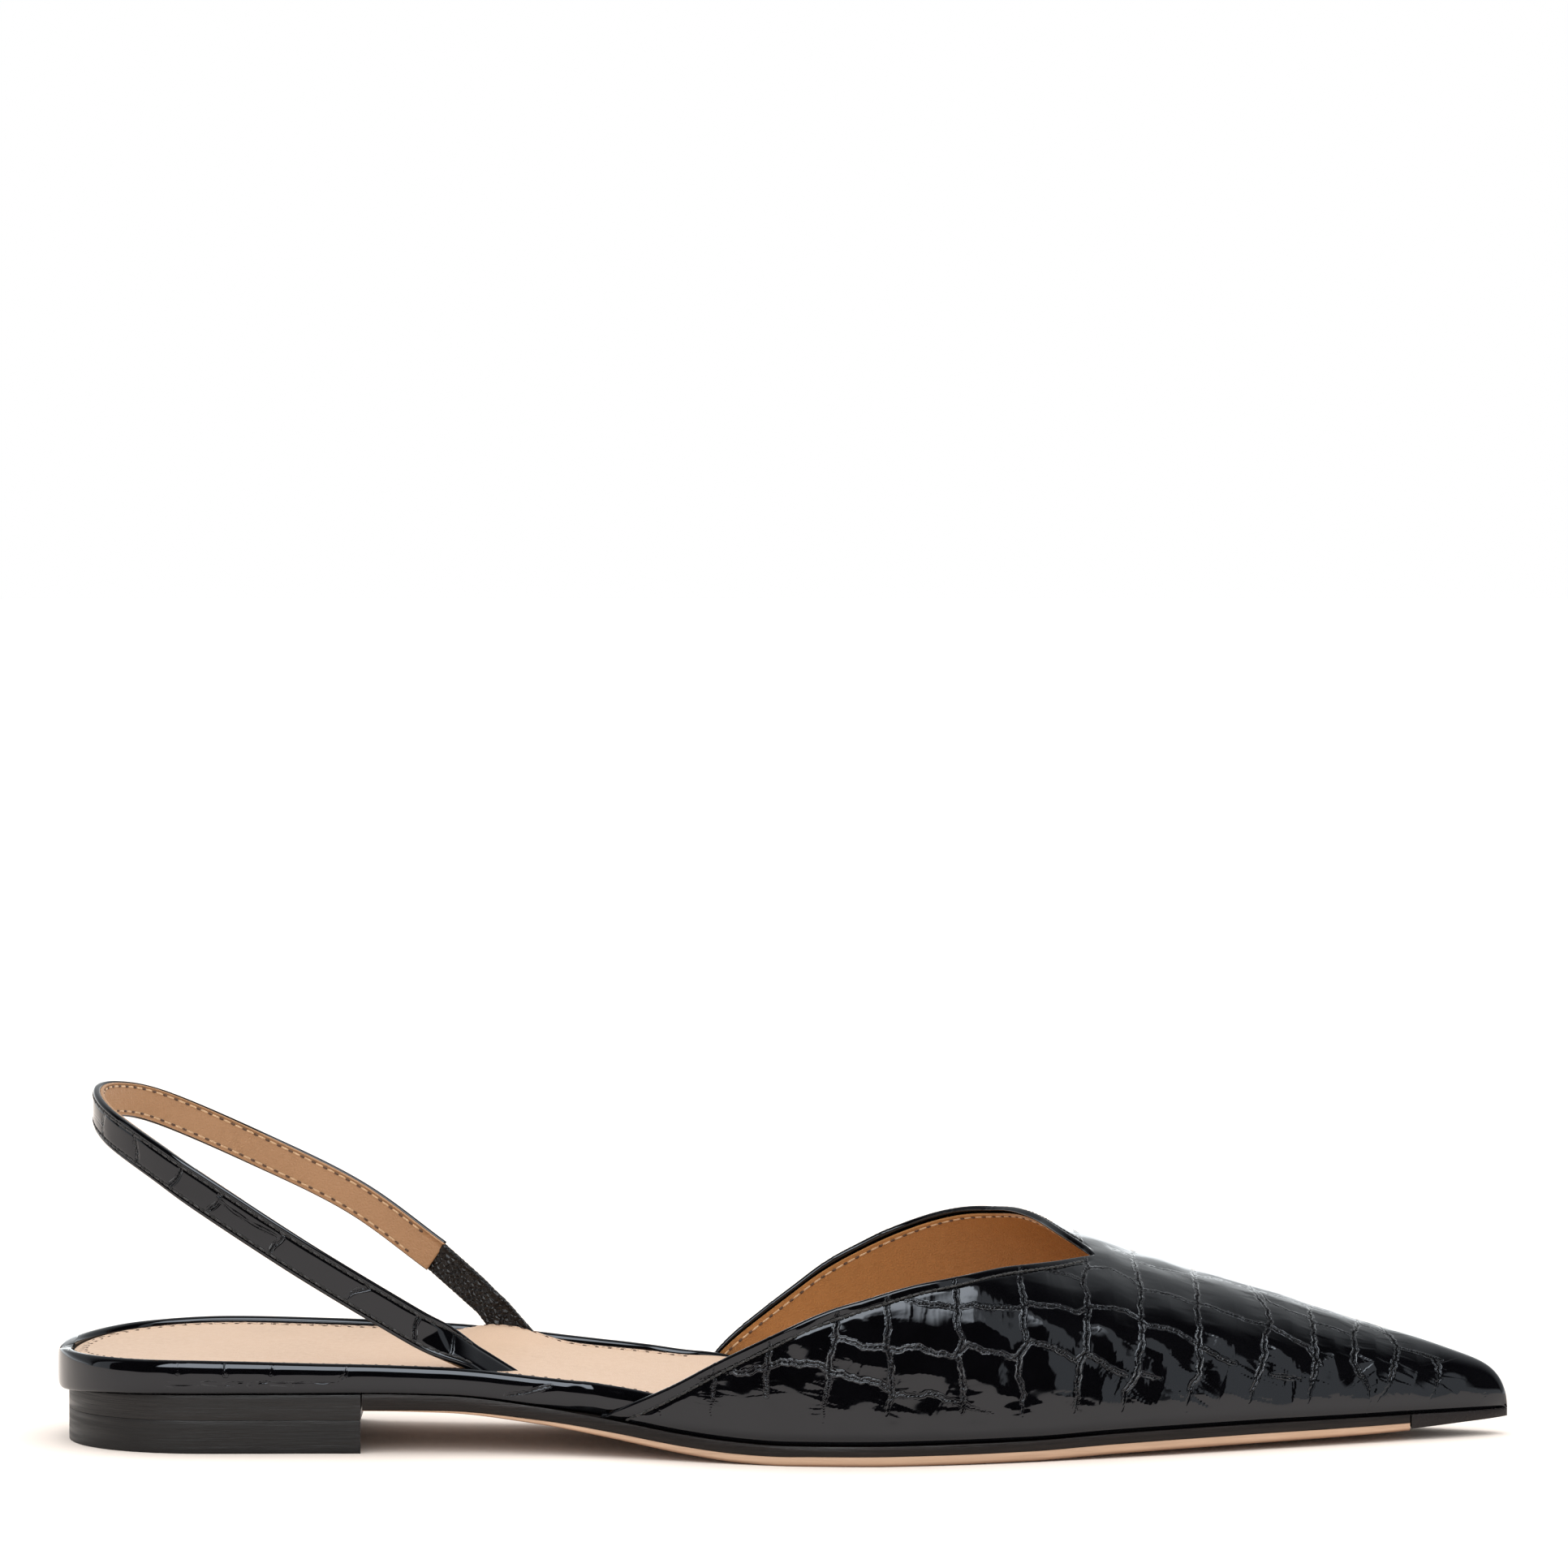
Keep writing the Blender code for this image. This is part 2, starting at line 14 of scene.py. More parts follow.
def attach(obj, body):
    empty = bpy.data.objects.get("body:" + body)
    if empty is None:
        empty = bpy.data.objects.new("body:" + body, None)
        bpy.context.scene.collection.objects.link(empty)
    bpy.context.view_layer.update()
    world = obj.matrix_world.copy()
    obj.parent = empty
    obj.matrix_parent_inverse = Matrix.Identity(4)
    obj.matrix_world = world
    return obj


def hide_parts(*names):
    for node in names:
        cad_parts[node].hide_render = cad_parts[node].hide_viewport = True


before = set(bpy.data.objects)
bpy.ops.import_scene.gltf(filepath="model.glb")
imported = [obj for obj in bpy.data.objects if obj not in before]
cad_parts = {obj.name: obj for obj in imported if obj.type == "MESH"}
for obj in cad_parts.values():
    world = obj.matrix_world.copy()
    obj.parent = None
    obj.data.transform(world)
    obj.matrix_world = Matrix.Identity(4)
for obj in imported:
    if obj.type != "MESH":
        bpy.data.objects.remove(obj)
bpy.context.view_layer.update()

MM = 0.001

# Driving sizes, as in the part's source
LENGTH = 0.270
BALL_WIDTH = 0.080
HEEL_RISE = 0.0078
TOE_SPRING = 0.0030
SOLE_THICK = 0.0034
HEEL_LENGTH = 0.0575
TOP_PIECE_HEIGHT = 0.0061
BREAST_HOLLOW = 0.0008
TIP_LENGTH = 0.0190
TIP_STEP = 0.0003
FOOTBED_THICK = 0.0064
RIM_WIDTH = 0.0026
RIM_DEPTH = 0.0019
RAND_TUCK = 0.0014
SEAT_OVERHANG = 0.0020
SIDE_OVERHANG = 0.0012
SOCK_THICK = 0.0009
SOCK_DISH = 0.0006
THROAT_RISE = 0.0323
UPPER_WALL = 0.0015
TURN_UNDER = 0.0010
TURN_HEIGHT = 0.0025
STRAP_WIDTH = 0.0066
STRAP_THICK = 0.0019
LOOP_HEIGHT = 0.0620
LOOP_HALF_WIDTH = 0.0265
ELASTIC_WIDTH = 0.0060
ELASTIC_THICK = 0.0013
GAP = 0.0003


def table(names, rows):
    """Rows of numbers that can be read by name."""
    row = namedtuple("row", names)
    return [row(*numbers) for numbers in rows]


# Plan of the sole: along is a share of the length from the back, the sides are shares of the ball width
SOLE_PLAN = table("along lateral medial", [
    (0.000, 0.279, 0.366),
    (0.111, 0.279, 0.362),
    (0.185, 0.275, 0.340),
    (0.270, 0.274, 0.283),
    (0.333, 0.300, 0.255),
    (0.389, 0.355, 0.278),
    (0.456, 0.438, 0.350),
    (0.511, 0.488, 0.418),
    (0.556, 0.498, 0.465),
    (0.604, 0.477, 0.497),
    (0.656, 0.432, 0.484),
    (0.707, 0.372, 0.445),
    (0.767, 0.294, 0.392),
    (0.833, 0.202, 0.326),
    (0.893, 0.114, 0.257),
    (0.944, 0.036, 0.182),
    (1.000, -0.053, 0.102),
])

# Side view of the sole: arch is a share of the heel rise, spring of the toe spring, thick of the sole
SOLE_SIDE = table("along arch spring thick", [
    (0.000, 0.846, 0.00, 0.853),
    (0.048, 0.965, 0.00, 0.853),
    (0.111, 1.000, 0.00, 0.853),
    (0.215, 1.000, 0.00, 0.853),
    (0.270, 0.955, 0.00, 0.853),
    (0.333, 0.730, 0.00, 0.860),
    (0.381, 0.474, 0.00, 0.910),
    (0.433, 0.180, 0.00, 0.960),
    (0.470, 0.040, 0.00, 1.000),
    (0.500, 0.000, 0.00, 1.000),
    (0.667, 0.000, 0.09, 1.000),
    (0.722, 0.000, 0.26, 1.000),
    (0.815, 0.000, 0.42, 0.970),
    (0.889, 0.000, 0.52, 0.880),
    (0.930, 0.000, 0.63, 0.790),
    (0.974, 0.000, 0.87, 0.560),
    (1.000, 0.000, 1.00, 0.440),
])

# Footbed: rim heights as shares of its thickness, overhang as a share of the side overhang,
# tucks as shares of the room that the vamp's wall needs, rim as a share of the rim's width and depth
FOOTBED = table("along lateral medial overhang lateral_tuck medial_tuck rim", [
    (0.000, 1.20, 1.20, 1.0, 0.0, 0.0, 1.00),
    (0.048, 1.06, 1.28, 1.0, 0.0, 0.0, 1.00),
    (0.119, 1.00, 1.34, 1.0, 0.0, 0.0, 1.00),
    (0.215, 0.89, 1.30, 0.7, 0.0, 0.0, 1.00),
    (0.278, 0.85, 1.30, 0.4, 0.0, 0.0, 1.00),
    (0.326, 0.88, 1.36, 0.1, 0.0, 0.0, 1.00),
    (0.352, 0.91, 1.37, 0.0, 0.3, 0.0, 1.00),
    (0.370, 0.94, 1.38, 0.0, 1.0, 0.0, 1.00),
    (0.405, 0.98, 1.40, 0.0, 1.0, 0.0, 0.95),
    (0.441, 0.85, 1.40, 0.0, 1.0, 1.0, 0.80),
    (0.500, 0.55, 1.00, 0.0, 1.0, 1.0, 0.45),
    (0.560, 0.38, 0.50, 0.0, 1.0, 1.0, 0.30),
    (0.620, 0.34, 0.34, 0.0, 1.0, 1.0, 0.25),
    (0.960, 0.28, 0.28, 0.0, 1.0, 1.0, 0.20),
])

# Level of the sock's recess at the very back and at its rim, as a share of its depth
BACK_SHOULDER = 0.25

# Side of the rand from its foot up: share of its tuck and of its height
RAND_SIDE = [(0.90, 0.0), (0.34, 0.05), (0.08, 0.20), (0.0, 0.46), (0.05, 0.72)]

# Vamp: rise of the ridge over the sole as a share of the rise at the throat's point,
# ridge place across as a share of the ball width
VAMP = table("along rise ridge", [
    (0.376, 1.710, 0.100),
    (0.463, 1.700, 0.100),
    (0.537, 1.560, 0.100),
    (0.611, 1.353, 0.100),
    (0.670, 1.149, 0.100),
    (0.713, 1.000, 0.100),
    (0.767, 0.842, 0.098),
    (0.833, 0.680, 0.094),
    (0.900, 0.503, 0.088),
    (0.944, 0.389, 0.083),
    (0.967, 0.320, 0.080),
    (1.000, 0.225, 0.077),
])
ROUNDNESS = 2.2
UPRIGHT = 3.2

# Toplines: girth runs from 0 at the lateral feather edge over the ridge to 1 at the medial one
LATERAL_TOPLINE = table("along girth", [
    (0.376, 0.002),
    (0.412, 0.031),
    (0.463, 0.0805),
    (0.486, 0.1025),
    (0.523, 0.1405),
    (0.561, 0.175),
    (0.589, 0.2035),
    (0.618, 0.2333),
    (0.651, 0.279),
    (0.686, 0.333),
    (0.713, 0.3955),
])
MEDIAL_TOPLINE = table("along girth", [
    (0.446, 0.968),
    (0.460, 0.945),
    (0.485, 0.911),
    (0.505, 0.883),
    (0.525, 0.852),
    (0.560, 0.801),
    (0.594, 0.7435),
    (0.628, 0.6726),
    (0.6485, 0.622),
    (0.671, 0.528),
    (0.691, 0.455),
    (0.7065, 0.4167),
    (0.713, 0.3955),
])

# Sling strap's middle line from its lateral foot round the heel to the elastic, then the elastic's:
# shares of the length from the back, of the loop's half width and of the loop's height
STRAP_LINE = table("along across up", [
    (0.2900, -0.700, 0.267),
    (0.2750, -0.720, 0.309),
    (0.2430, -0.765, 0.390),
    (0.1778, -0.845, 0.567),
    (0.1111, -0.800, 0.755),
    (0.0775, -0.664, 0.850),
    (0.0410, -0.340, 0.947),
    (0.0285, 0.080, 0.995),
    (0.0375, 0.450, 1.002),
    (0.0665, 0.775, 0.961),
    (0.1307, 0.985, 0.829),
    (0.1993, 0.980, 0.680),
    (0.2570, 0.900, 0.502),
])
ELASTIC_LINE = table("along across up", [
    (0.2570, 0.900, 0.502),
    (0.2850, 0.755, 0.402),
    (0.2965, 0.680, 0.357),
    (0.3068, 0.652, 0.308),
])

NOSE_START = 0.9667
NOSE_POWER = 4.0
HEEL_ROUND = 0.111
HEEL_POWER = 2.2

# Layers of the upper and its folded topline
FOLD_RADIUS = 0.0006
SHELL = 0.0008
LINING_INNER = 0.0016
LINING_DROP = 0.0010
STITCH_INSET = 0.0020

# Relief of the scales: half width and depth of a groove, and of the hollow between the cushions beside it
GROOVE_WIDTH = 0.30 * MM
GROOVE_DEPTH = 0.13 * MM
HOLLOW_WIDTH = 3.3 * MM
HOLLOW_DEPTH = 0.40 * MM

# Distance in millimetres that stands for no groove near
FAR = 6.0

# Scale pattern: grooves across the vamp from foot to ridge, as thousandths of (along, girth)
ACROSS = [
    [(416, 10), (417, 30), (419, 60), (420, 120), (421, 300), (422, 500)],
    [(451, 20), (452, 46), (454, 80), (455, 140), (456, 300), (457, 500)],
    [(488, 45), (487, 61), (489, 73), (490, 104), (492, 200), (494, 500)],
    [(526, 22), (528, 45), (530, 71), (531, 94), (535, 117), (536, 200), (534, 500)],
    [(569, 30), (572, 56), (572, 86), (569, 116), (570, 145), (569, 176), (571, 300), (574, 500)],
    [(619, 35), (621, 66), (619, 87), (617, 112), (620, 132), (616, 159), (617, 190), (615, 217),
     (616, 340), (618, 500)],
    [(660, 30), (661, 63), (658, 89), (658, 116), (664, 139), (661, 188), (663, 212), (661, 237),
     (660, 268), (657, 380), (659, 500)],
    [(696, 35), (698, 72), (699, 108), (705, 148), (705, 189), (706, 227), (706, 261), (703, 301),
     (707, 348), (705, 430), (702, 500)],
    [(728, 35), (731, 71), (739, 101), (740, 135), (743, 175), (743, 222), (742, 273), (744, 313),
     (741, 390), (740, 466), (742, 500)],
    [(772, 30), (776, 83), (782, 111), (783, 138), (782, 175), (783, 225), (782, 285), (783, 343),
     (782, 450), (784, 500)],
    [(815, 35), (820, 93), (824, 124), (828, 176), (828, 230), (833, 298), (831, 359), (823, 445),
     (822, 500)],
    [(857, 45), (862, 129), (864, 176), (863, 255), (863, 326), (862, 426), (864, 500)],
    [(899, 12), (901, 58), (899, 116), (893, 162), (890, 200), (892, 260), (891, 337), (895, 406),
     (897, 500)],
    [(901, 20), (906, 50), (915, 108), (918, 189), (921, 260), (922, 335), (918, 404), (911, 500)],
    [(942, 32), (947, 94), (951, 166), (951, 246), (948, 300)],
    [(974, 10), (980, 50), (984, 107)],
]

# Grooves that run with the shoe, row by row from the sole up
RUNS = [
    [(440, 52), (465, 66), (476, 65), (488, 76), (504, 82), (526, 82), (531, 75), (556, 68), (567, 65),
     (575, 53), (600, 57), (617, 47), (642, 34)],
    [(532, 116), (554, 109), (575, 109), (592, 116), (602, 109), (615, 109), (624, 127), (635, 122),
     (656, 117), (667, 148), (674, 145), (689, 135), (697, 121), (704, 139), (722, 112), (732, 98)],
    [(581, 178), (603, 179), (615, 181), (628, 190), (646, 195), (660, 205), (666, 215), (685, 222),
     (699, 221), (710, 240), (733, 245), (746, 220), (767, 215), (777, 195), (786, 178), (795, 159),
     (807, 142)],
    [(674, 297), (691, 304), (702, 304), (709, 347), (724, 360), (738, 344), (745, 319), (763, 324),
     (777, 314), (789, 314), (802, 302), (816, 286), (832, 283), (845, 252), (858, 229), (867, 169)],
    [(720, 455), (732, 464), (741, 432), (760, 429), (781, 446), (795, 470), (814, 466), (828, 455),
     (833, 399), (846, 376), (859, 373), (865, 353), (881, 345), (892, 329)],
    [(828, 450), (849, 478), (864, 466), (884, 476), (903, 442), (916, 411), (923, 321), (933, 316),
     (946, 312), (954, 304)],
    [(832, 117), (842, 116), (853, 113)],
    [(743, 107), (755, 94)],
]

# Rows over the instep that only the medial side shows, mirrored about the ridge
MEDIAL_RUNS = [
    [(600, 245), (618, 252), (640, 262), (658, 281), (674, 297)],
    [(640, 362), (660, 372), (684, 380), (703, 392), (720, 420)],
    [(676, 455), (696, 462), (716, 458)],
]


def curve(rows, column):
    """Smooth curve through a table's column that never overshoots its rows, for arrays."""
    xs = np.array([row.along for row in rows])
    ys = np.array([getattr(row, column) for row in rows])
    step = np.diff(xs)
    slope = np.diff(ys) / step
    tangent = np.zeros(len(xs))
    tangent[0] = slope[0]
    tangent[-1] = slope[-1]
    for i in range(1, len(xs) - 1):
        if slope[i - 1] * slope[i] > 0.0:
            before = 2.0 * step[i] + step[i - 1]
            after = step[i] + 2.0 * step[i - 1]
            tangent[i] = (before + after) / (before / slope[i - 1] + after / slope[i])

    def at(along):
        along = np.clip(np.asarray(along, float), xs[0], xs[-1])
        i = np.clip(np.searchsorted(xs, along, side="right") - 1, 0, len(step) - 1)
        t = (along - xs[i]) / step[i]
        rest = 1.0 - t
        return (ys[i] * rest * rest * (1.0 + 2.0 * t) + ys[i + 1] * t * t * (3.0 - 2.0 * t)
                + step[i] * (tangent[i] * t * rest * rest - tangent[i + 1] * t * t * rest))
    return at


plan_lateral = curve(SOLE_PLAN, "lateral")
plan_medial = curve(SOLE_PLAN, "medial")
side_arch = curve(SOLE_SIDE, "arch")
side_spring = curve(SOLE_SIDE, "spring")
side_thick = curve(SOLE_SIDE, "thick")
bed_lateral = curve(FOOTBED, "lateral")
bed_medial = curve(FOOTBED, "medial")
bed_overhang = curve(FOOTBED, "overhang")
bed_lateral_tuck = curve(FOOTBED, "lateral_tuck")
bed_medial_tuck = curve(FOOTBED, "medial_tuck")
bed_rim = curve(FOOTBED, "rim")
vamp_rise = curve(VAMP, "rise")
vamp_ridge = curve(VAMP, "ridge")
lateral_top = curve(LATERAL_TOPLINE, "girth")
medial_top = curve(MEDIAL_TOPLINE, "girth")


def x_at(along):
    return (along - 0.5) * LENGTH


def along_at(x):
    return x / LENGTH + 0.5


def ease(value, start, end):
    """Smooth step from 0 at start to 1 at end."""
    t = np.clip((value - start) / (end - start), 0.0, 1.0)
    return t * t * (3.0 - 2.0 * t)


def round_end(t, power):
    return np.maximum(1.0 - np.maximum(t, 0.0) ** power, 0.0) ** (1.0 / min(power, HEEL_POWER))


def nose(along, shorter=0.0):
    reach = (1.0 - NOSE_START) * LENGTH - shorter
    return round_end((along - NOSE_START) * LENGTH / reach, NOSE_POWER)


def plan(along, grow_lateral=0.0, grow_medial=0.0, back=0.0, toe=0.0):
    """Lateral and medial edge of the sole, grown outward, with the back end moved forward."""
    lateral = -BALL_WIDTH * plan_lateral(along) - grow_lateral
    medial = BALL_WIDTH * plan_medial(along) + grow_medial
    middle = 0.5 * (lateral + medial)
    t = (HEEL_ROUND - along) / (HEEL_ROUND - back / LENGTH)
    half = 0.5 * (medial - lateral) * round_end(t, HEEL_POWER) * nose(along, toe)
    return middle - half, middle + half


def underside(along):
    return HEEL_RISE * side_arch(along) + TOE_SPRING * side_spring(along)


def sole_top(along):
    return underside(along) + SOLE_THICK * side_thick(along)


def vamp_at(along, girth, wall=0.0):
    """Points of the upper's surface, or of a layer inside it."""
    along, girth = np.broadcast_arrays(np.asarray(along, float), np.asarray(girth, float))
    low, high = plan(along, -wall, -wall, toe=np.max(wall))
    base = sole_top(along) + GAP
    rise = (THROAT_RISE * vamp_rise(along) - wall) * nose(along, np.max(wall))
    ridge = BALL_WIDTH * vamp_ridge(along)
    ridge = np.minimum(np.maximum(ridge, low + 0.2 * (high - low)), high - 0.2 * (high - low))
    angle = pi * np.clip(girth, 0.0, 1.0)
    tall = np.maximum(np.sin(angle), 0.0) ** (2.0 / ROUNDNESS)
    wide = np.maximum(1.0 - tall ** UPRIGHT, 0.0) ** (1.0 / ROUNDNESS)
    near = girth < 0.5
    edge = np.where(near, low, high)
    turn = np.maximum(1.0 - tall * rise / TURN_HEIGHT, 0.0)
    tuck = np.minimum(TURN_UNDER, 0.3 * (high - low)) * turn * turn
    edge = edge + np.where(near, tuck, -tuck)
    return np.stack([x_at(along), ridge + (edge - ridge) * wide, base + rise * tall], axis=-1)


def unit(vectors):
    return vectors / np.maximum(np.linalg.norm(vectors, axis=-1, keepdims=True), 1e-12)


def path_run(path):
    """Distance along a line at each of its points."""
    return np.concatenate([[0.0], np.cumsum(np.linalg.norm(np.diff(path, axis=0), axis=1))])


def on_line(at, run, rows):
    """Rows of three numbers, read between their points at given distances."""
    return np.stack([np.interp(at, run, rows[:, i]) for i in range(3)], axis=-1)


def vamp_frame(along, girth):
    """Outward normal and the direction of growing girth on the upper."""
    small = 2e-4
    ahead = vamp_at(np.minimum(along + small, 0.99999), girth)
    behind = vamp_at(along - small, girth)
    over = vamp_at(along, np.minimum(girth + small, 1.0))
    under = vamp_at(along, np.maximum(girth - small, 0.0))
    across = unit(over - under)
    return unit(np.cross(ahead - behind, across)), across


def girth_length():
    """Length of the vamp's section from feather edge to feather edge, as a function of along."""
    stations = np.linspace(0.37, 0.9995, 90)
    points = vamp_at(stations[:, None], np.linspace(0.0, 1.0, 160)[None, :])
    lengths = np.linalg.norm(np.diff(points, axis=1), axis=2).sum(axis=1)

    def at(along):
        return np.interp(along, stations, lengths)
    return at


section_length = girth_length()
THROAT = LATERAL_TOPLINE[-1].along


def seam_girth(along):
    """Girth of the line where both halves meet, from the throat's point over to the ridge."""
    point = LATERAL_TOPLINE[-1]
    share = np.clip((along - point.along) / (NOSE_START - point.along), 0.0, 1.0)
    return point.girth + (0.5 - point.girth) * share


class Grooves:
    """Distance and depth of the nearest point on a family of lines."""

    def __init__(self, lines):
        points = np.concatenate([line[0] for line in lines])
        self.depth = np.concatenate([line[1] for line in lines])
        self.tree = KDTree(len(points))
        for i, point in enumerate(points):
            self.tree.insert(point, i)
        self.tree.balance()

    def look(self, points):
        flat = points.reshape(-1, 3)
        found = [self.tree.find(point) for point in flat]
        index = np.array([hit[1] for hit in found])
        distance = np.array([hit[2] for hit in found])
        shape = points.shape[:-1]
        return distance.reshape(shape), self.depth[index].reshape(shape)


def wander(count, seed, size):
    """Small smooth wobble along a line."""
    t = np.arange(count)
    return size * (np.sin(0.37 * t + 2.1 * seed) + 0.6 * np.sin(0.91 * t + 1.3 * seed)
                   + 0.35 * np.sin(2.13 * t + 0.7 * seed)) / 1.95


def dense(points, step):
    """Line through points of two numbers, refined to about one step of share each."""
    points = np.array(points, float)
    rows = []
    for start, end in zip(points, points[1:]):
        count = max(int(np.linalg.norm((end - start) * (1.0, 0.5)) / step), 2)
        for k in range(count):
            t = k / count
            rows.append(start + (end - start) * t)
    rows.append(points[-1])
    return np.array(rows)


def vamp_line(points, seed, mirrored, running):
    """Groove line on the upper: its points in space and its depth at each."""
    line = dense(np.array(points) / 1000.0, 0.0012)
    count = len(line)
    line[:, 0] += wander(count, seed, 0.0009 if not running else 0.0004)
    line[:, 1] += wander(count, seed + 5.0, 0.0022 if running else 0.0006)
    height = line[:, 1] * section_length(line[:, 0])
    depth = 0.10 + 0.90 * ease(height, 3.0 * MM, 11.0 * MM)
    depth = depth * (1.0 - 0.45 * ease(line[:, 1], 0.36, 0.47))
    depth *= 0.86 + 0.14 * np.sin(0.23 * np.arange(count) + seed)
    if running:
        ends = np.minimum(np.arange(count), np.arange(count)[::-1])
        depth *= 0.55 + 0.45 * ease(ends, 0.0, 6.0)
        depth *= 0.80
    girth = 1.0 - line[:, 1] if mirrored else line[:, 1]
    return vamp_at(line[:, 0], girth), depth


def vamp_grooves():
    across = []
    running = []
    for i, points in enumerate(ACROSS):
        across.append(vamp_line(points, 1.0 + i, False, False))
        across.append(vamp_line(points, 1.0 + i, True, False))
    for i, points in enumerate(RUNS):
        running.append(vamp_line(points, 20.0 + i, False, True))
        running.append(vamp_line(points, 40.0 + i, True, True))
    for i, points in enumerate(MEDIAL_RUNS):
        running.append(vamp_line(points, 60.0 + i, True, True))
    return Grooves(across), Grooves(running)


def waves(points):
    """Faint unevenness of stretched leather, in metres."""
    x, y, z = (points[..., i] * 1000.0 for i in range(3))
    return MM * (0.030 * np.sin(0.43 * x + 0.21 * z + 0.9) + 0.022 * np.sin(0.31 * x - 0.52 * z + 0.4 * y)
                 + 0.012 * np.sin(0.95 * x + 0.63 * z - 0.7 * y + 2.0))


def relief(points, families):
    """Height of the scale pattern at points, distance in millimetres to the groove, and its depth share."""
    valley = np.zeros(points.shape[:-1])
    hollow = np.zeros(points.shape[:-1])
    away = np.full(points.shape[:-1], FAR)
    strength = np.zeros(points.shape[:-1])
    for family in families:
        distance, depth = family.look(points)
        valley = np.maximum(valley, depth * np.exp(-(distance / GROOVE_WIDTH) ** 2))
        hollow = 1.0 - (1.0 - hollow) * (1.0 - depth * np.exp(-(distance / HOLLOW_WIDTH) ** 2))
        strength = np.where(distance / MM < away, depth, strength)
        away = np.minimum(away, distance / MM)
    return waves(points) - GROOVE_DEPTH * valley - HOLLOW_DEPTH * hollow, away, strength


def grid_normals(points):
    return unit(np.cross(np.gradient(points, axis=0), np.gradient(points, axis=1)))


def add_mesh(name, points, faces, material, body="root", slot=None, replaces=()):
    mesh = bpy.data.meshes.new(name)
    mesh.from_pydata(points.tolist(), [], faces)
    mesh.shade_smooth()
    mesh.materials.append(material)
    thing = bpy.data.objects.new(name, mesh)
    bpy.context.scene.collection.objects.link(thing)
    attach(thing, body)
    if replaces:
        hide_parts(*replaces)
    return thing


def ring_faces(rows, columns):
    """Quads between closed rings of equal length, and a face on each end."""
    i, k = np.meshgrid(np.arange(rows - 1), np.arange(columns), indexing="ij")
    j = (k + 1) % columns
    near, far = i * columns, (i + 1) * columns
    faces = np.stack([near + k, far + k, far + j, near + j], axis=-1).reshape(-1, 4).tolist()
    faces.append(list(range(columns)))
    faces.append(list(range(rows * columns - 1, (rows - 1) * columns - 1, -1)))
    return faces


def add_rings(name, rings, material, sharp=None, **facts):
    rings = np.asarray(rings, float)
    rows, columns = rings.shape[:2]
    thing = add_mesh(name, rings.reshape(-1, 3), ring_faces(rows, columns), material, **facts)
    if sharp:
        thing.data.set_sharp_from_angle(angle=sharp)
    return thing


def paint(thing, name, values):
    """Keeps a number on each vertex for the material to read."""
    attribute = thing.data.attributes.new(name, "FLOAT", "POINT")
    attribute.data.foreach_set("value", np.asarray(values, np.float32).ravel())


# Materials


class Nodes:
    """Makes and joins the nodes of one tree."""

    def node(self, kind, **values):
        made = self.tree.nodes.new(kind)
        for name, value in values.items():
            setattr(made, name, value)
        return made

    def link(self, source, target):
        self.tree.links.new(source, target)

    def put(self, value, socket):
        """Sets a socket to a constant, or links another node's output to it."""
        if isinstance(value, (int, float, tuple)):
            socket.default_value = value
        else:
            self.link(value, socket)

    def math(self, operation, a, b=0.0):
        made = self.node("ShaderNodeMath", operation=operation)
        self.put(a, made.inputs[0])
        self.put(b, made.inputs[1])
        return made.outputs[0]

    def times(self, a, b):
        return self.math("MULTIPLY", a, b)

    def range(self, value, low, high, to_low=0.0, to_high=1.0):
        made = self.node("ShaderNodeMapRange", interpolation_type="SMOOTHSTEP")
        self.put(value, made.inputs["Value"])
        limits = {"From Min": low, "From Max": high, "To Min": to_low, "To Max": to_high}
        for socket, number in limits.items():
            made.inputs[socket].default_value = number
        return made.outputs["Result"]


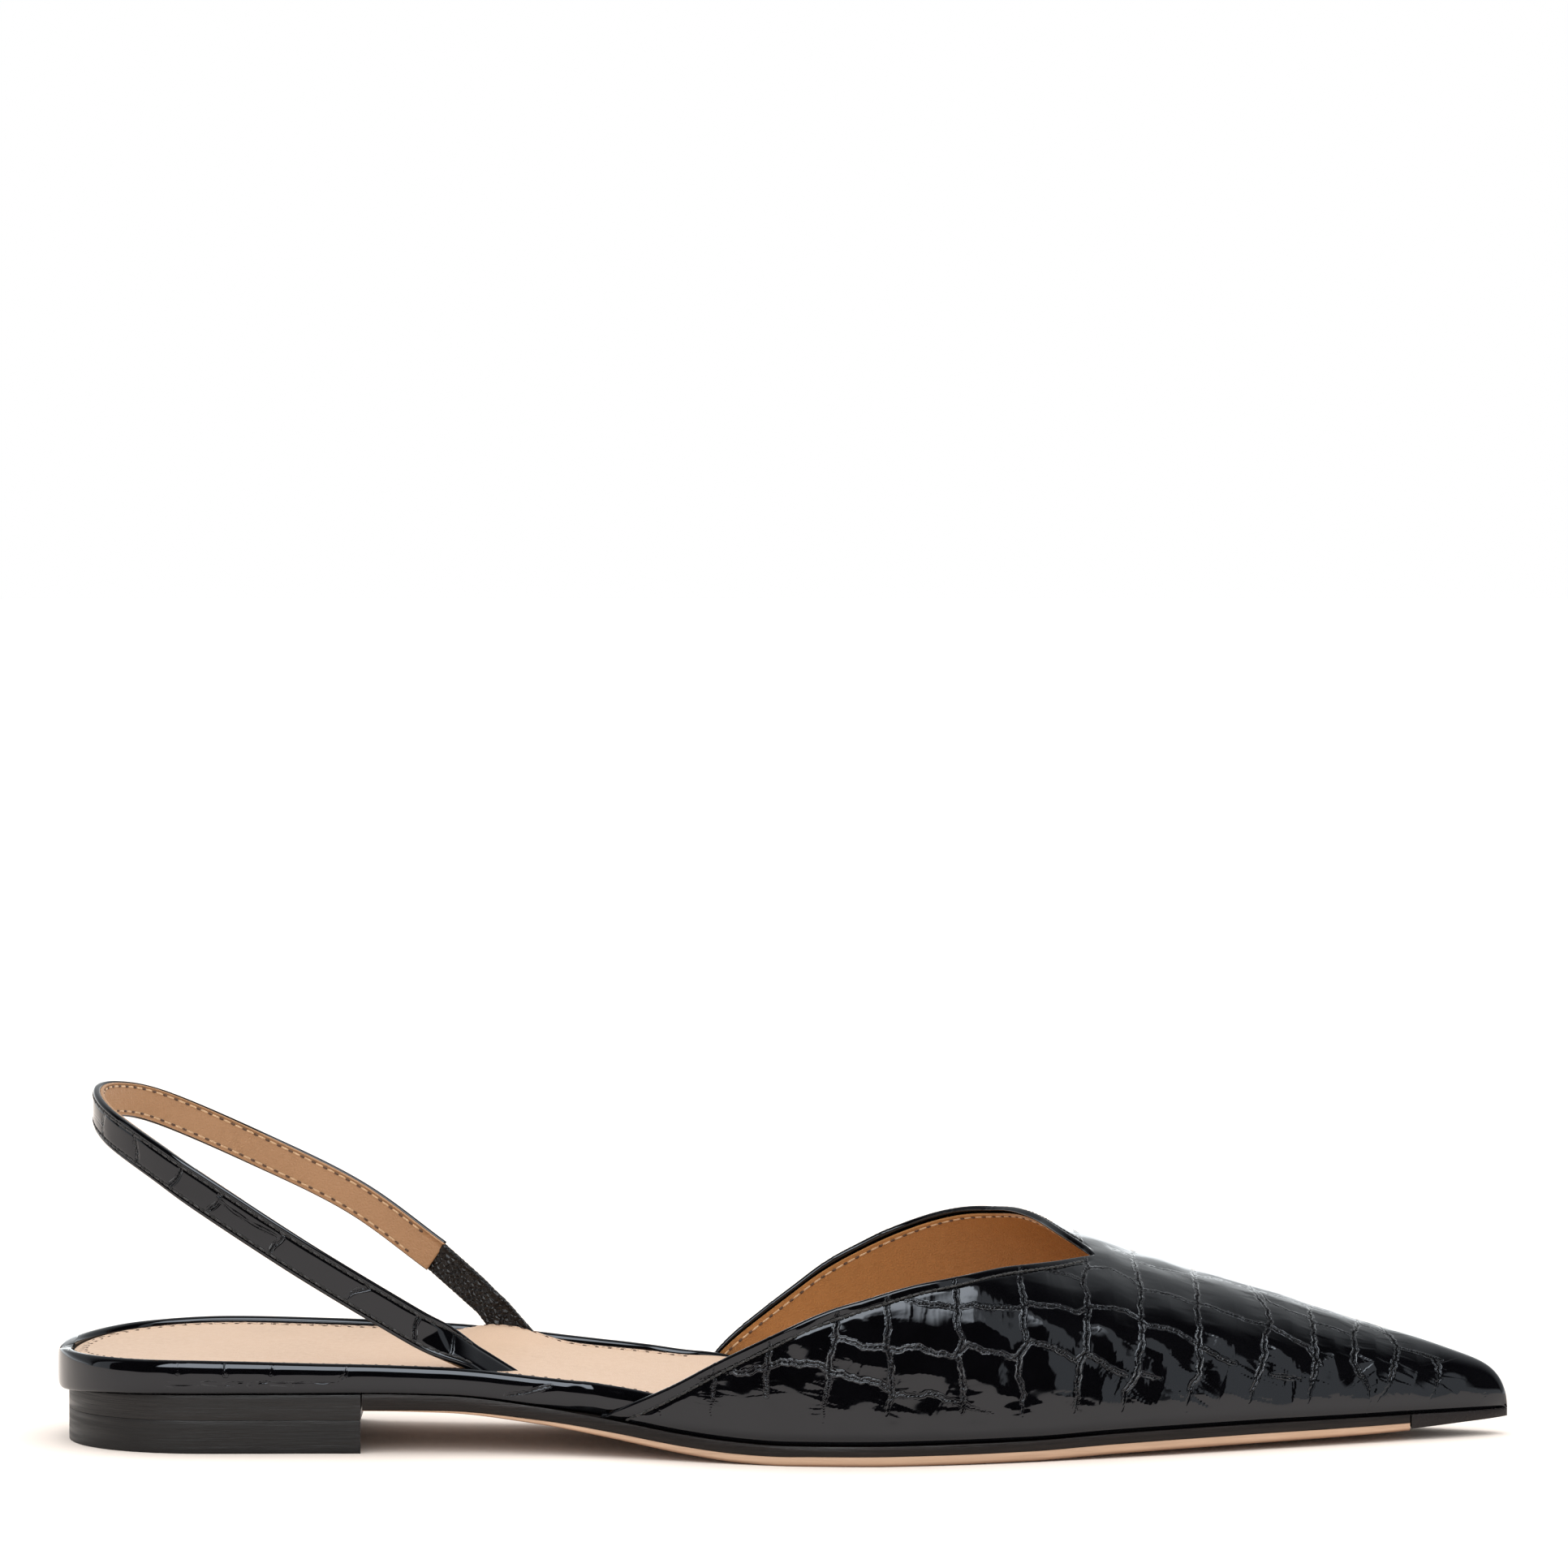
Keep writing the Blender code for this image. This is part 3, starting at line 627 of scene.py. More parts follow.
class Look(Nodes):
    """Node material on one principled shader."""

    def __init__(self, name, colour, roughness, **sockets):
        self.material = bpy.data.materials.new(name)
        self.material.use_nodes = True
        self.tree = self.material.node_tree
        self.shader = self.tree.nodes["Principled BSDF"]
        self.shader.inputs["Base Color"].default_value = (*colour, 1.0)
        self.shader.inputs["Roughness"].default_value = roughness
        for socket, value in sockets.items():
            self.shader.inputs[socket.replace("_", " ")].default_value = value
        self.place = self.node("ShaderNodeTexCoord").outputs["Object"]

    def noise(self, scale, detail=3.0, rough=0.55, stretch=(1.0, 1.0, 1.0), distortion=0.0):
        mapping = self.node("ShaderNodeMapping")
        mapping.inputs["Scale"].default_value = stretch
        self.link(self.place, mapping.inputs["Vector"])
        made = self.node("ShaderNodeTexNoise")
        made.inputs["Scale"].default_value = scale
        made.inputs["Detail"].default_value = detail
        made.inputs["Roughness"].default_value = rough
        made.inputs["Distortion"].default_value = distortion
        self.link(mapping.outputs["Vector"], made.inputs["Vector"])
        return made.outputs["Fac"]

    def cells(self, scale):
        made = self.node("ShaderNodeTexVoronoi", feature="DISTANCE_TO_EDGE")
        made.inputs["Scale"].default_value = scale
        self.link(self.place, made.inputs["Vector"])
        return made.outputs["Distance"]

    def attribute(self, name):
        return self.node("ShaderNodeAttribute", attribute_name=name).outputs["Fac"]

    def mix(self, share, a, b):
        made = self.node("ShaderNodeMix", data_type="RGBA")
        self.put(share, made.inputs["Factor"])
        self.put((*a, 1.0) if isinstance(a, tuple) else a, made.inputs[6])
        self.put((*b, 1.0) if isinstance(b, tuple) else b, made.inputs[7])
        return made.outputs[2]

    def colour(self, value):
        self.link(value, self.shader.inputs["Base Color"])

    def rough(self, value):
        self.link(value, self.shader.inputs["Roughness"])

    def bump(self, heights):
        """Chains bumps, each a height socket with its depth in metres."""
        last = None
        for height, depth in heights:
            made = self.node("ShaderNodeBump")
            made.inputs["Strength"].default_value = 1.0
            made.inputs["Distance"].default_value = depth
            self.link(height, made.inputs["Height"])
            if last:
                self.link(last, made.inputs["Normal"])
            last = made.outputs["Normal"]
        self.link(last, self.shader.inputs["Normal"])


def patent_look(name, crumpled):
    """Black patent: each groove is a thin cut between crumpled lips, read from its distance and depth; the
    lips carry painted glints and the cut painted shade.
    """
    look = Look(name, (0.0016, 0.0016, 0.0022), 0.05, IOR=1.5)
    look.shader.inputs["Specular Tint"].default_value = (0.88, 0.92, 1.0, 1.0)
    tone = look.noise(140.0, 2.0)
    black = look.mix(look.range(tone, 0.3, 0.7), (0.0014, 0.0014, 0.0019), (0.0020, 0.0020, 0.0027))
    depth = look.attribute("groove")
    away = look.attribute("away")
    deep = look.times(depth, depth)
    cut = look.times(look.range(away, 0.08, 0.28, 1.0, 0.0), depth)
    lip_place = look.range(look.noise(300.0, 1.0), 0.3, 0.7, 0.32, 0.55)
    off_lip = look.math("ABSOLUTE", look.math("SUBTRACT", away, lip_place))
    lip = look.times(look.range(off_lip, 0.0, 0.14, 1.0, 0.0), deep)
    near = look.times(look.range(away, 0.20, 0.75, 1.0, 0.0), deep)
    # Painted glint: pale flecks on the groove lips go into the base colour, stronger where the groove is
    # deeper.
    crest = look.times(look.range(off_lip, 0.0, 0.11, 1.0, 0.0), deep)
    painted_glint = look.times(crest, look.range(look.noise(430.0, 3.0, 0.7), 0.50, 0.62, 0.0, crumpled))
    look.colour(look.mix(painted_glint, black, (0.20, 0.215, 0.23)))
    crumple = look.times(look.noise(850.0, 2.0, 0.6, distortion=1.2), near)
    # Painted shade: the specular level drops inside the cut, as if the crevice shut out its reflection.
    look.link(look.range(cut, 0.0, 0.8, 0.5, 0.04), look.shader.inputs["Specular IOR Level"])
    look.bump([
        (look.noise(120.0, 1.0, 0.5), 0.00004),
        (cut, -0.00014),
        (lip, -0.00011 * crumpled),
        (crumple, 0.00045 * crumpled)])
    look.rough(look.range(near, 0.2, 0.9, 0.045, 0.06))
    return look.material


def leather_look(name, colour, dark, roughness, grain=1500.0, depth=0.00004, spec=0.4):
    """Leather or rubber with soft clouds of a darker tone and fine pores."""
    look = Look(name, colour, roughness, Specular_IOR_Level=spec)
    tone = look.noise(60.0, 4.0)
    fine = look.noise(grain * 0.5, 3.0)
    share = look.times(look.range(tone, 0.3, 0.75), look.range(fine, 0.2, 0.9))
    look.colour(look.mix(share, colour, dark))
    pores = look.cells(grain)
    look.rough(look.range(fine, 0.2, 0.8, roughness - 0.06, roughness + 0.08))
    look.bump([(look.range(pores, 0.0, 0.35), depth), (look.noise(grain * 0.2, 3.0), depth * 1.6)])
    return look.material


def heel_look(name, colour, dark, roughness, spec):
    """Stained stacked leather: fine lines that lie flat."""
    look = Look(name, colour, roughness, Specular_IOR_Level=spec)
    lines = look.noise(900.0, 3.0, 0.6, stretch=(0.12, 0.12, 4.0))
    broad = look.noise(260.0, 2.0, 0.5, stretch=(0.2, 0.2, 3.0))
    look.colour(look.mix(look.range(lines, 0.35, 0.7), dark, colour))
    look.rough(look.range(broad, 0.3, 0.7, roughness - 0.08, roughness + 0.10))
    look.bump([(lines, 0.00008), (broad, 0.00006)])
    return look.material


def sole_look():
    look = Look("sole_edge_natural", (0.72, 0.46, 0.29), 0.5, Specular_IOR_Level=0.35)
    fibre = look.noise(700.0, 4.0, 0.6, stretch=(0.10, 0.10, 3.0))
    tone = look.noise(70.0, 3.0)
    light = look.mix(look.range(fibre, 0.3, 0.75), (0.58, 0.39, 0.265), (0.46, 0.295, 0.195))
    base = look.mix(look.range(tone, 0.35, 0.7), light, (0.52, 0.34, 0.225))
    band = look.attribute("band")
    look.colour(look.mix(look.range(band, 0.02, 0.45), (0.22, 0.12, 0.07), base))
    look.bump([(fibre, 0.00006)])
    return look.material


def thread_look(name, colour, dark, roughness):
    look = Look(name, colour, roughness, Sheen_Weight=0.2)
    ply = look.noise(2600.0, 2.0)
    look.colour(look.mix(look.range(ply, 0.3, 0.7), colour, dark))
    look.bump([(ply, 0.00005)])
    return look.material


PATENT = patent_look("patent_scales", 1.0)
PATENT_PLAIN = patent_look("patent_plain", 0.5)
LINING = leather_look("lining_calf", (0.40, 0.225, 0.115), (0.34, 0.185, 0.09), 0.46)
# Lining calf for the inside of the upper, more orange and a little darker than the strap's lining: in part
# painted shade of the upper's inside.
UPPER_LINING_SHADED = leather_look("upper_lining_calf_shaded", (0.44, 0.20, 0.064), (0.33, 0.140, 0.040), 0.42)
SOCK_CALF = leather_look("sock_calf", (0.60, 0.43, 0.308), (0.545, 0.385, 0.272), 0.50, 1800.0, 0.00003)
HEEL_STAIN = heel_look("heel_stain", (0.0085, 0.0076, 0.0080), (0.0045, 0.004, 0.0042), 0.44, 0.38)
TOP_PIECE = heel_look("top_piece_rubber", (0.0055, 0.005, 0.0052), (0.0035, 0.003, 0.0034), 0.50, 0.38)
SOLE_EDGE = sole_look()
WELT = heel_look("welt_stain", (0.014, 0.010, 0.009), (0.007, 0.0055, 0.005), 0.42, 0.22)
TIP = leather_look("tip_rubber", (0.014, 0.011, 0.011), (0.008, 0.007, 0.007), 0.48, 1200.0, 0.00003, 0.22)
ELASTIC_FACE = leather_look("elastic_face", (0.0045, 0.0036, 0.0040), (0.0022, 0.0018, 0.0020), 0.38, 1100.0,
                            0.00028, 0.35)
DARK_THREAD = thread_look("dark_thread", (0.014, 0.013, 0.014), (0.006, 0.006, 0.006), 0.5)
TAN_THREAD = thread_look("tan_thread", (0.66, 0.45, 0.27), (0.48, 0.31, 0.17), 0.6)
SOCK_THREAD = thread_look("sock_thread", (0.66, 0.48, 0.35), (0.52, 0.36, 0.25), 0.6)
# Dark beads at the needle holes: painted shade of the holes, black on patent and dark brown on the calf.
PIN_SHADE_DARK = thread_look("pinhole_shade_dark", (0.002, 0.002, 0.002), (0.004, 0.004, 0.004), 0.8)
PIN_SHADE_BROWN = thread_look("pinhole_shade_brown", (0.06, 0.028, 0.013), (0.12, 0.062, 0.032), 0.8)


# Stitches: pitch, length of a stitch and radius of the thread

TOPLINE_SEAM = (2.45 * MM, 1.5 * MM, 0.21 * MM)
LINING_SEAM = (2.45 * MM, 1.6 * MM, 0.20 * MM)
SOCK_SEAM = (2.4 * MM, 1.6 * MM, 0.22 * MM)
STRAP_SEAM = (2.4 * MM, 1.5 * MM, 0.20 * MM)
STRAP_LINING_SEAM = (2.4 * MM, 1.5 * MM, 0.18 * MM)


def stitch_row(name, line, normals, seam, thread, hole_shade, slot):
    """Row of separate stitches along a line on a surface, with a dark bead between each two: painted shade
    of the needle hole.
    """
    pitch, length, radius = seam
    hole_shade_name = name.replace("stitches", "pinhole_shades")
    add_beads(name, line, normals, pitch, 0.5, length, radius, 0.35, thread, slot)
    add_beads(hole_shade_name, line, normals, pitch, 1.0, pitch - length, 1.2 * radius, 0.40, hole_shade, slot)


def add_beads(name, line, normals, pitch, start, length, radius, sink, material, slot):
    """Row of small long beads, sunk into a surface by a share of their radius."""
    run = path_run(line)
    count = int(run[-1] / pitch)
    spots = (np.arange(count - 1) + start) * run[-1] / count
    reach = 0.3 * length
    centre = on_line(spots, run, line)
    ahead = unit(on_line(spots + reach, run, line) - on_line(spots - reach, run, line))
    normal = unit(on_line(spots, run, normals))
    side = unit(np.cross(normal, ahead))
    stations = [(-1.0, 0.35), (-0.82, 0.85), (-0.4, 1.0), (0.4, 1.0), (0.82, 0.85), (1.0, 0.35)]
    around = [2.0 * pi * i / 8 for i in range(8)]
    points = []
    faces = []
    for spot in range(len(spots)):
        first = len(points)
        for u, r in stations:
            lift = radius * (1.0 - sink - 0.9 * u * u * sink)
            for angle in around:
                points.append(centre[spot] + ahead[spot] * (u * 0.5 * length)
                              + side[spot] * (np.cos(angle) * r * radius)
                              + normal[spot] * (np.sin(angle) * r * radius * 0.8 + lift - radius * 0.5))
        for face in ring_faces(len(stations), len(around)):
            faces.append([first + i for i in face])
    return add_mesh(name, np.array(points), faces, material, slot=slot)


# Vamp


FRONT_STEPS = 330
TIP_STEPS = 32
GIRTH_POINTS = 112


def vamp_stations(start, front_steps, back_steps):
    """Stations from a wing's end to the throat and on to the toe's tip."""
    back = np.linspace(start, THROAT, back_steps + 1)
    front = np.linspace(THROAT, NOSE_START, front_steps + 1)[1:]
    tip = NOSE_START + (1.0 - NOSE_START) * np.sin(0.4975 * pi * np.arange(1, TIP_STEPS + 1) / TIP_STEPS)
    return np.concatenate([back, front, tip])


def edge_share(along):
    """1 where the topline is a free folded edge, 0 from the throat's point on."""
    return 1.0 - ease(along, THROAT - 0.006, THROAT)


def topline(along, lateral):
    free = lateral_top(along) if lateral else medial_top(along)
    return np.where(along < THROAT, free, seam_girth(along))


def toward_foot(edge, lateral):
    """For girth from a topline to its feather edge: its sign, the room between them and where it stops."""
    return (-1.0, edge, 0.0) if lateral else (1.0, 1.0 - edge, 1.0)


def vamp_outer(along, lateral, columns, families):
    """Displaced outer face of one half, ordered by girth, with its groove strength and normals."""
    edge = topline(along, lateral)
    fold = edge_share(along) * FOLD_RADIUS / section_length(along)
    share = np.linspace(0.0, 1.0, columns)[None, :]
    if lateral:
        stop = np.maximum(edge - fold, 0.2 * edge)
        girth = stop[:, None] * share
    else:
        start = edge + fold
        girth = start[:, None] + (1.0 - start)[:, None] * share
    base = vamp_at(along[:, None], girth)
    normal, across = vamp_frame(along[:, None], girth)
    height, away, strength = relief(base, families)
    from_edge = np.abs(girth - edge[:, None]) * section_length(along)[:, None]
    free = edge_share(along)[:, None]
    seam = free * np.exp(-((from_edge - STITCH_INSET) / (0.45 * MM)) ** 2)
    flat = 1.0 - 0.75 * free * np.exp(-(from_edge / (1.3 * MM)) ** 2)
    foot = ease(np.minimum(girth, 1.0 - girth) * section_length(along)[:, None], 0.5 * MM, 4.0 * MM)
    lip = free * np.exp(-(from_edge / (0.9 * MM)) ** 2)
    height = height * flat * foot - 0.16 * MM * seam + 0.10 * MM * lip
    off_seam = np.abs(from_edge - STITCH_INSET) / MM + FAR * (1.0 - free)
    strength = np.where(off_seam < away, 0.15, strength * flat)
    away = np.minimum(away, off_seam)
    return base + normal * height[..., None], away, strength, across


def paint_part(thing, shape, part, away, strength):
    """Keeps groove distance and depth on one run of columns, and no groove on the others."""
    distances = np.full(shape, FAR)
    depths = np.zeros(shape)
    distances[:, part] = away
    depths[:, part] = strength
    paint(thing, "away", distances)
    paint(thing, "groove", depths)


def vamp_half(name, along, lateral, columns, families):
    """One half of the upper as a shell: displaced face, rolled topline and smooth inside."""
    outer, away, strength, across = vamp_outer(along, lateral, columns, families)
    normals = grid_normals(outer)
    length = section_length(along)
    edge = topline(along, lateral)
    sign, room, stop = toward_foot(edge, lateral)
    top = -1 if lateral else 0
    toward = across[:, top] if lateral else -across[:, top]
    edge_normal = normals[:, top]
    toward = unit(toward - edge_normal * np.sum(toward * edge_normal, axis=-1, keepdims=True))
    free = edge_share(along)[:, None]
    thick = FOLD_RADIUS * (0.667 + 0.333 * free)
    small = np.minimum(1.0, length * room / (2.5 * MM))[:, None]
    roll = []
    for angle in np.linspace(0.0, pi, 9)[1:]:
        roll.append(outer[:, top] - edge_normal * thick * (1.0 - np.cos(angle))
                    + toward * FOLD_RADIUS * free * small * np.sin(angle))
    tip_shift = ease(along, 0.90, 1.0) * 1.4 * SHELL / LENGTH
    inside = along - tip_shift
    inner = []
    for drop in (0.9 * MM, 2.0 * MM, 3.2 * MM):
        start = edge + sign * np.minimum(drop / length, 0.6 * room)
        inner.append(vamp_at(inside, start, SHELL))
    for share in np.linspace(0.15, 1.0, 7):
        inner.append(vamp_at(inside, start + (stop - start) * share, SHELL))
    roll = np.stack(roll, axis=1)
    inner = np.stack(inner, axis=1)
    if lateral:
        rings = np.concatenate([outer, roll, inner], axis=1)
        skip = 0
    else:
        rings = np.concatenate([inner[:, ::-1], roll[:, ::-1], outer], axis=1)
        skip = inner.shape[1] + roll.shape[1]
    thing = add_rings(name, rings, PATENT, slot="patent", replaces=("vamp",))
    paint_part(thing, rings.shape[:2], slice(skip, skip + columns), away, strength)
    return thing, normals, skip


def match_seam(lateral, medial, count):
    """Gives both halves the same normals where they meet, so that no line shows there."""
    for (thing, normals, skip), columns, other, at, there in (
            (lateral, lateral[1].shape[1], medial, -1, 0), (medial, medial[1].shape[1], lateral, 0, -1)):
        mesh = thing.data
        own = np.zeros(len(mesh.vertices) * 3, np.float32)
        mesh.vertices.foreach_get("normal", own)
        rows = normals.shape[0]
        own = own.reshape(rows, -1, 3)
        fixed = normals.copy()
        fixed[rows - count:, at] = unit(normals[rows - count:, at]
                                        + other[1][other[1].shape[0] - count:, there])
        own[rows - count:, skip:skip + columns] = fixed[rows - count:]
        mesh.normals_split_custom_set_from_vertices(own.reshape(-1, 3).tolist())


def lining_half(name, start, lateral):
    """Thin lining inside one half, its top edge just under the folded topline."""
    along = np.linspace(start, 0.985, 150)
    edge = topline(along, lateral)
    sign, room, stop = toward_foot(edge, lateral)
    top = edge + sign * np.minimum(LINING_DROP / section_length(along), 0.5 * room) * edge_share(along)
    inside = along - ease(along, 0.90, 1.0) * 2.4 * LINING_INNER / LENGTH
    share = np.linspace(0.0, 1.0, 46)
    girth = top[:, None] + (stop - top)[:, None] * share[None, :]
    face = vamp_at(inside[:, None], girth, LINING_INNER)
    back = vamp_at(inside[:, None], girth[:, ::5], LINING_INNER - 0.35 * MM)
    if lateral:
        rings = np.concatenate([face, back[:, ::-1]], axis=1)
    else:
        rings = np.concatenate([back, face[:, ::-1]], axis=1)
    add_rings(name, rings, UPPER_LINING_SHADED, sharp=pi / 4, slot="sock_leather", replaces=("vamp",))


def build_vamp():
    """Both halves of the upper with their linings and the seams along the toplines."""
    families = vamp_grooves()
    lateral_start = LATERAL_TOPLINE[0].along
    medial_start = MEDIAL_TOPLINE[0].along
    lateral_along = vamp_stations(lateral_start, FRONT_STEPS, 380)
    medial_along = vamp_stations(medial_start, FRONT_STEPS, 300)
    lateral = vamp_half("vamp_lateral", lateral_along, True, GIRTH_POINTS, families)
    medial = vamp_half("vamp_medial", medial_along, False, GIRTH_POINTS, families)
    match_seam(lateral, medial, FRONT_STEPS + TIP_STEPS + 1)
    lining_half("vamp_lining_lateral", lateral_start + 0.004, True)
    lining_half("vamp_lining_medial", medial_start + 0.002, False)
    for name, start, is_lateral in (("lateral", 0.392, True), ("medial", 0.450, False)):
        along = np.linspace(start, THROAT - 0.004, 300)
        sign = -1.0 if is_lateral else 1.0
        girth = topline(along, is_lateral) + sign * STITCH_INSET / section_length(along)
        normal = vamp_frame(along, girth)[0]
        line = vamp_at(along, girth) - normal * 0.10 * MM
        stitch_row("topline_stitches_" + name, line, normal, TOPLINE_SEAM, DARK_THREAD, PIN_SHADE_DARK, "patent")
        line = vamp_at(along, girth, LINING_INNER)
        stitch_row("lining_stitches_" + name, line, -normal, LINING_SEAM, TAN_THREAD, PIN_SHADE_BROWN,
                   "sock_leather")


# Footbed and sock


def bed_plan(along):
    room = TURN_UNDER + UPPER_WALL + GAP
    overhang = SIDE_OVERHANG * bed_overhang(along)
    return plan(along, overhang - room * bed_lateral_tuck(along), overhang - room * bed_medial_tuck(along),
                toe=room)


def bed_heights(along):
    """Rim heights, rolled down at the very back, and the recess's depth."""
    base = sole_top(along)
    near = 1.0 - np.clip(along * LENGTH / (2.4 * MM), 0.0, 1.0)
    roll = 1.1 * MM * (1.0 - np.sqrt(1.0 - near * near))
    lateral, medial = (base + FOOTBED_THICK * share(along) - roll for share in (bed_lateral, bed_medial))
    return lateral, medial, RIM_DEPTH * bed_rim(along)


def recess(along, inset=0.0):
    """Edges and level of the sock's hollow, whose back end is round a rim's width inside the outline."""
    low, high = bed_plan(along)
    rim = min(RIM_WIDTH * bed_rim(along), 0.3 * (high - low))
    lateral, medial, depth = bed_heights(along)
    behind = (HEEL_ROUND - along) * LENGTH
    outer_round = round_end(behind / (HEEL_ROUND * LENGTH), HEEL_POWER)
    inner_round = round_end(behind / (HEEL_ROUND * LENGTH - RIM_WIDTH - inset), HEEL_POWER)
    half = (0.5 * (high - low) / max(outer_round, 0.3) - rim - inset) * inner_round
    half = min(max(half, 0.03 * (high - low)), 0.5 * (high - low))
    middle = 0.5 * (low + high)
    sunk = ease(along * LENGTH, RIM_WIDTH, RIM_WIDTH + 0.6 * GAP)

    def height(y):
        share = (y - low) / (high - low)
        level = lateral + (medial - lateral) * share - BACK_SHOULDER * depth
        return level - sunk * ((1.0 - BACK_SHOULDER) * depth + SOCK_DISH * 4.0 * share * (1.0 - share))
    return middle - half, middle + half, height


def bed_ring(along):
    low, high = bed_plan(along)
    width = high - low
    rim = min(RIM_WIDTH * bed_rim(along), 0.3 * width)
    lateral, medial, depth = bed_heights(along)
    near = 1.0 - np.clip(along * LENGTH / (1.8 * MM), 0.0, 1.0)
    bottom = sole_top(along) + GAP + 1.5 * MM * (1.0 - np.sqrt(1.0 - near * near))
    left, right, height = recess(along)
    tuck = min(RAND_TUCK, 0.1 * width)
    outer = []
    for edge, inward, top, room in ((low, 1.0, lateral, left - low), (high, -1.0, medial, high - right)):
        tall = top - bottom
        room = max(room, rim)
        outer.append([(edge + inward * share * tuck, bottom + up * tall) for share, up in RAND_SIDE]
                     + [(edge + inward * 0.16 * rim, top - 0.09 * tall), (edge + inward * 0.50 * rim, top),
                        (edge + inward * (room - 0.12 * rim), top - BACK_SHOULDER * depth)])
    across = [left + (right - left) * i / 4.0 for i in range(5)]
    floor = [(y, height(y)) for y in across]
    return outer[0] + floor + list(reversed(outer[1]))


def round_ring(points, steps):
    """Closed smooth curve through a ring's points, with slopes that suit their spacing."""
    points = np.array(points, float)
    before = np.roll(points, 1, axis=0)
    end = np.roll(points, -1, axis=0)
    after = np.roll(points, -2, axis=0)
    span = np.linalg.norm(end - points, axis=1, keepdims=True) + 1e-9
    leaving = (end - before) * span / (np.roll(span, 1, axis=0) + span)
    arriving = (after - points) * span / (span + np.roll(span, -1, axis=0))
    rows = []
    for k in range(steps):
        t = k / steps
        rows.append((2.0 * t ** 3 - 3.0 * t * t + 1.0) * points + (t ** 3 - 2.0 * t * t + t) * leaving
                    + (3.0 * t * t - 2.0 * t ** 3) * end + (t ** 3 - t * t) * arriving)
    return np.stack(rows, axis=1).reshape(-1, points.shape[1])


def round_stations(start, end, count):
    """Stations that draw closer together toward a rounded end."""
    return start + (end - start) * np.sin(0.495 * pi * np.arange(count + 1) / count)


def bed_stations(front, rounding, straight):
    """Stations of the footbed, with some more where the sock's recess begins."""
    wall = (RIM_WIDTH + np.linspace(0.0, 0.6, 5) * GAP) / LENGTH
    return np.sort(np.concatenate([round_stations(HEEL_ROUND, 0.0, rounding), wall,
                                   np.linspace(HEEL_ROUND, front, straight + 1)[1:]]))


def rand_line(points, depth=1.0):
    """Crease on the rand's lateral side, from (along, share of its height)."""
    rows = []
    for along, up in dense(points, 0.004):
        ring = np.array(bed_ring(along)[:6])
        level = ring[0, 1] + up * (ring[5, 1] - ring[0, 1])
        rows.append((x_at(along), np.interp(level, ring[:, 1], ring[:, 0]), level))
    rows = np.array(rows)
    return rows, np.full(len(rows), depth)


RAND_CREASES = [
    ([(0.0880, 1.00), (0.0890, 0.72)], 0.40),
    ([(0.1210, 1.00), (0.1222, 0.66)], 0.45),
    ([(0.1540, 1.00), (0.1525, 0.70)], 0.40),
    ([(0.2040, 1.00), (0.2030, 0.74), (0.2000, 0.56)], 0.35),
    ([(0.0800, 0.36), (0.0920, 0.31), (0.1030, 0.35)], 0.35),
    ([(0.1080, 0.39), (0.1220, 0.33), (0.1340, 0.40)], 0.45),
    ([(0.1380, 0.34), (0.1500, 0.42), (0.1650, 0.37), (0.1820, 0.44), (0.1960, 0.38)], 0.45),
    ([(0.3120, 0.25), (0.3260, 0.50), (0.3420, 0.85)], 0.5),
]


# Columns of the rand's rings from its foot up its side and over the rim
SIDE_COLUMNS = 21


def build_rand():
    """Wrapped edge of the footbed, with light creases on its lateral side."""
    stations = bed_stations(0.955, 40, 420)
    rings = []
    for along in stations:
        ring = round_ring(bed_ring(along), 3)
        rings.append(np.column_stack([np.full(len(ring), x_at(along)), ring]))
    rings = np.array(rings)
    creases = Grooves([rand_line(points, depth) for points, depth in RAND_CREASES])
    seen = slice(0, SIDE_COLUMNS)
    side = rings[:, seen]
    normals = grid_normals(rings)[:, seen]
    distance, depth = creases.look(side)
    valley = depth * np.exp(-(distance / (0.45 * MM)) ** 2)
    hollow = depth * np.exp(-(distance / (1.5 * MM)) ** 2)
    outward = np.where(normals[..., 1:2] > 0.0, -normals, normals)
    sunk = 0.16 * MM * valley + 0.06 * MM * hollow - 0.4 * waves(side)
    rings[:, seen] = side - outward * sunk[..., None]
    thing = add_rings("rand", rings, PATENT_PLAIN, sharp=pi / 3, slot="patent_rand", replaces=("footbed",))
    paint_part(thing, rings.shape[:2], seen, np.minimum(distance / MM, FAR), depth)


SOCK_BUMP = 2.1 * MM
SOCK_SEAM_INSET = 2.3 * MM
SOCK_COLUMNS = 72


def sock_lift(x, y):
    """Sock's swelling over the hidden end of the elastic."""
    end = ELASTIC_LINE[-1]
    centre_x = x_at(end.along) - 0.5 * MM
    centre_y = LOOP_HALF_WIDTH * end.across - 1.6 * MM
    away = ((x - centre_x) / (8.5 * MM)) ** 2 + ((y - centre_y) / (4.2 * MM)) ** 2
    return SOCK_BUMP * np.exp(-away ** 1.3)


def sock_top(height, x, y):
    return height(y) + GAP + SOCK_THICK + sock_lift(x, y)


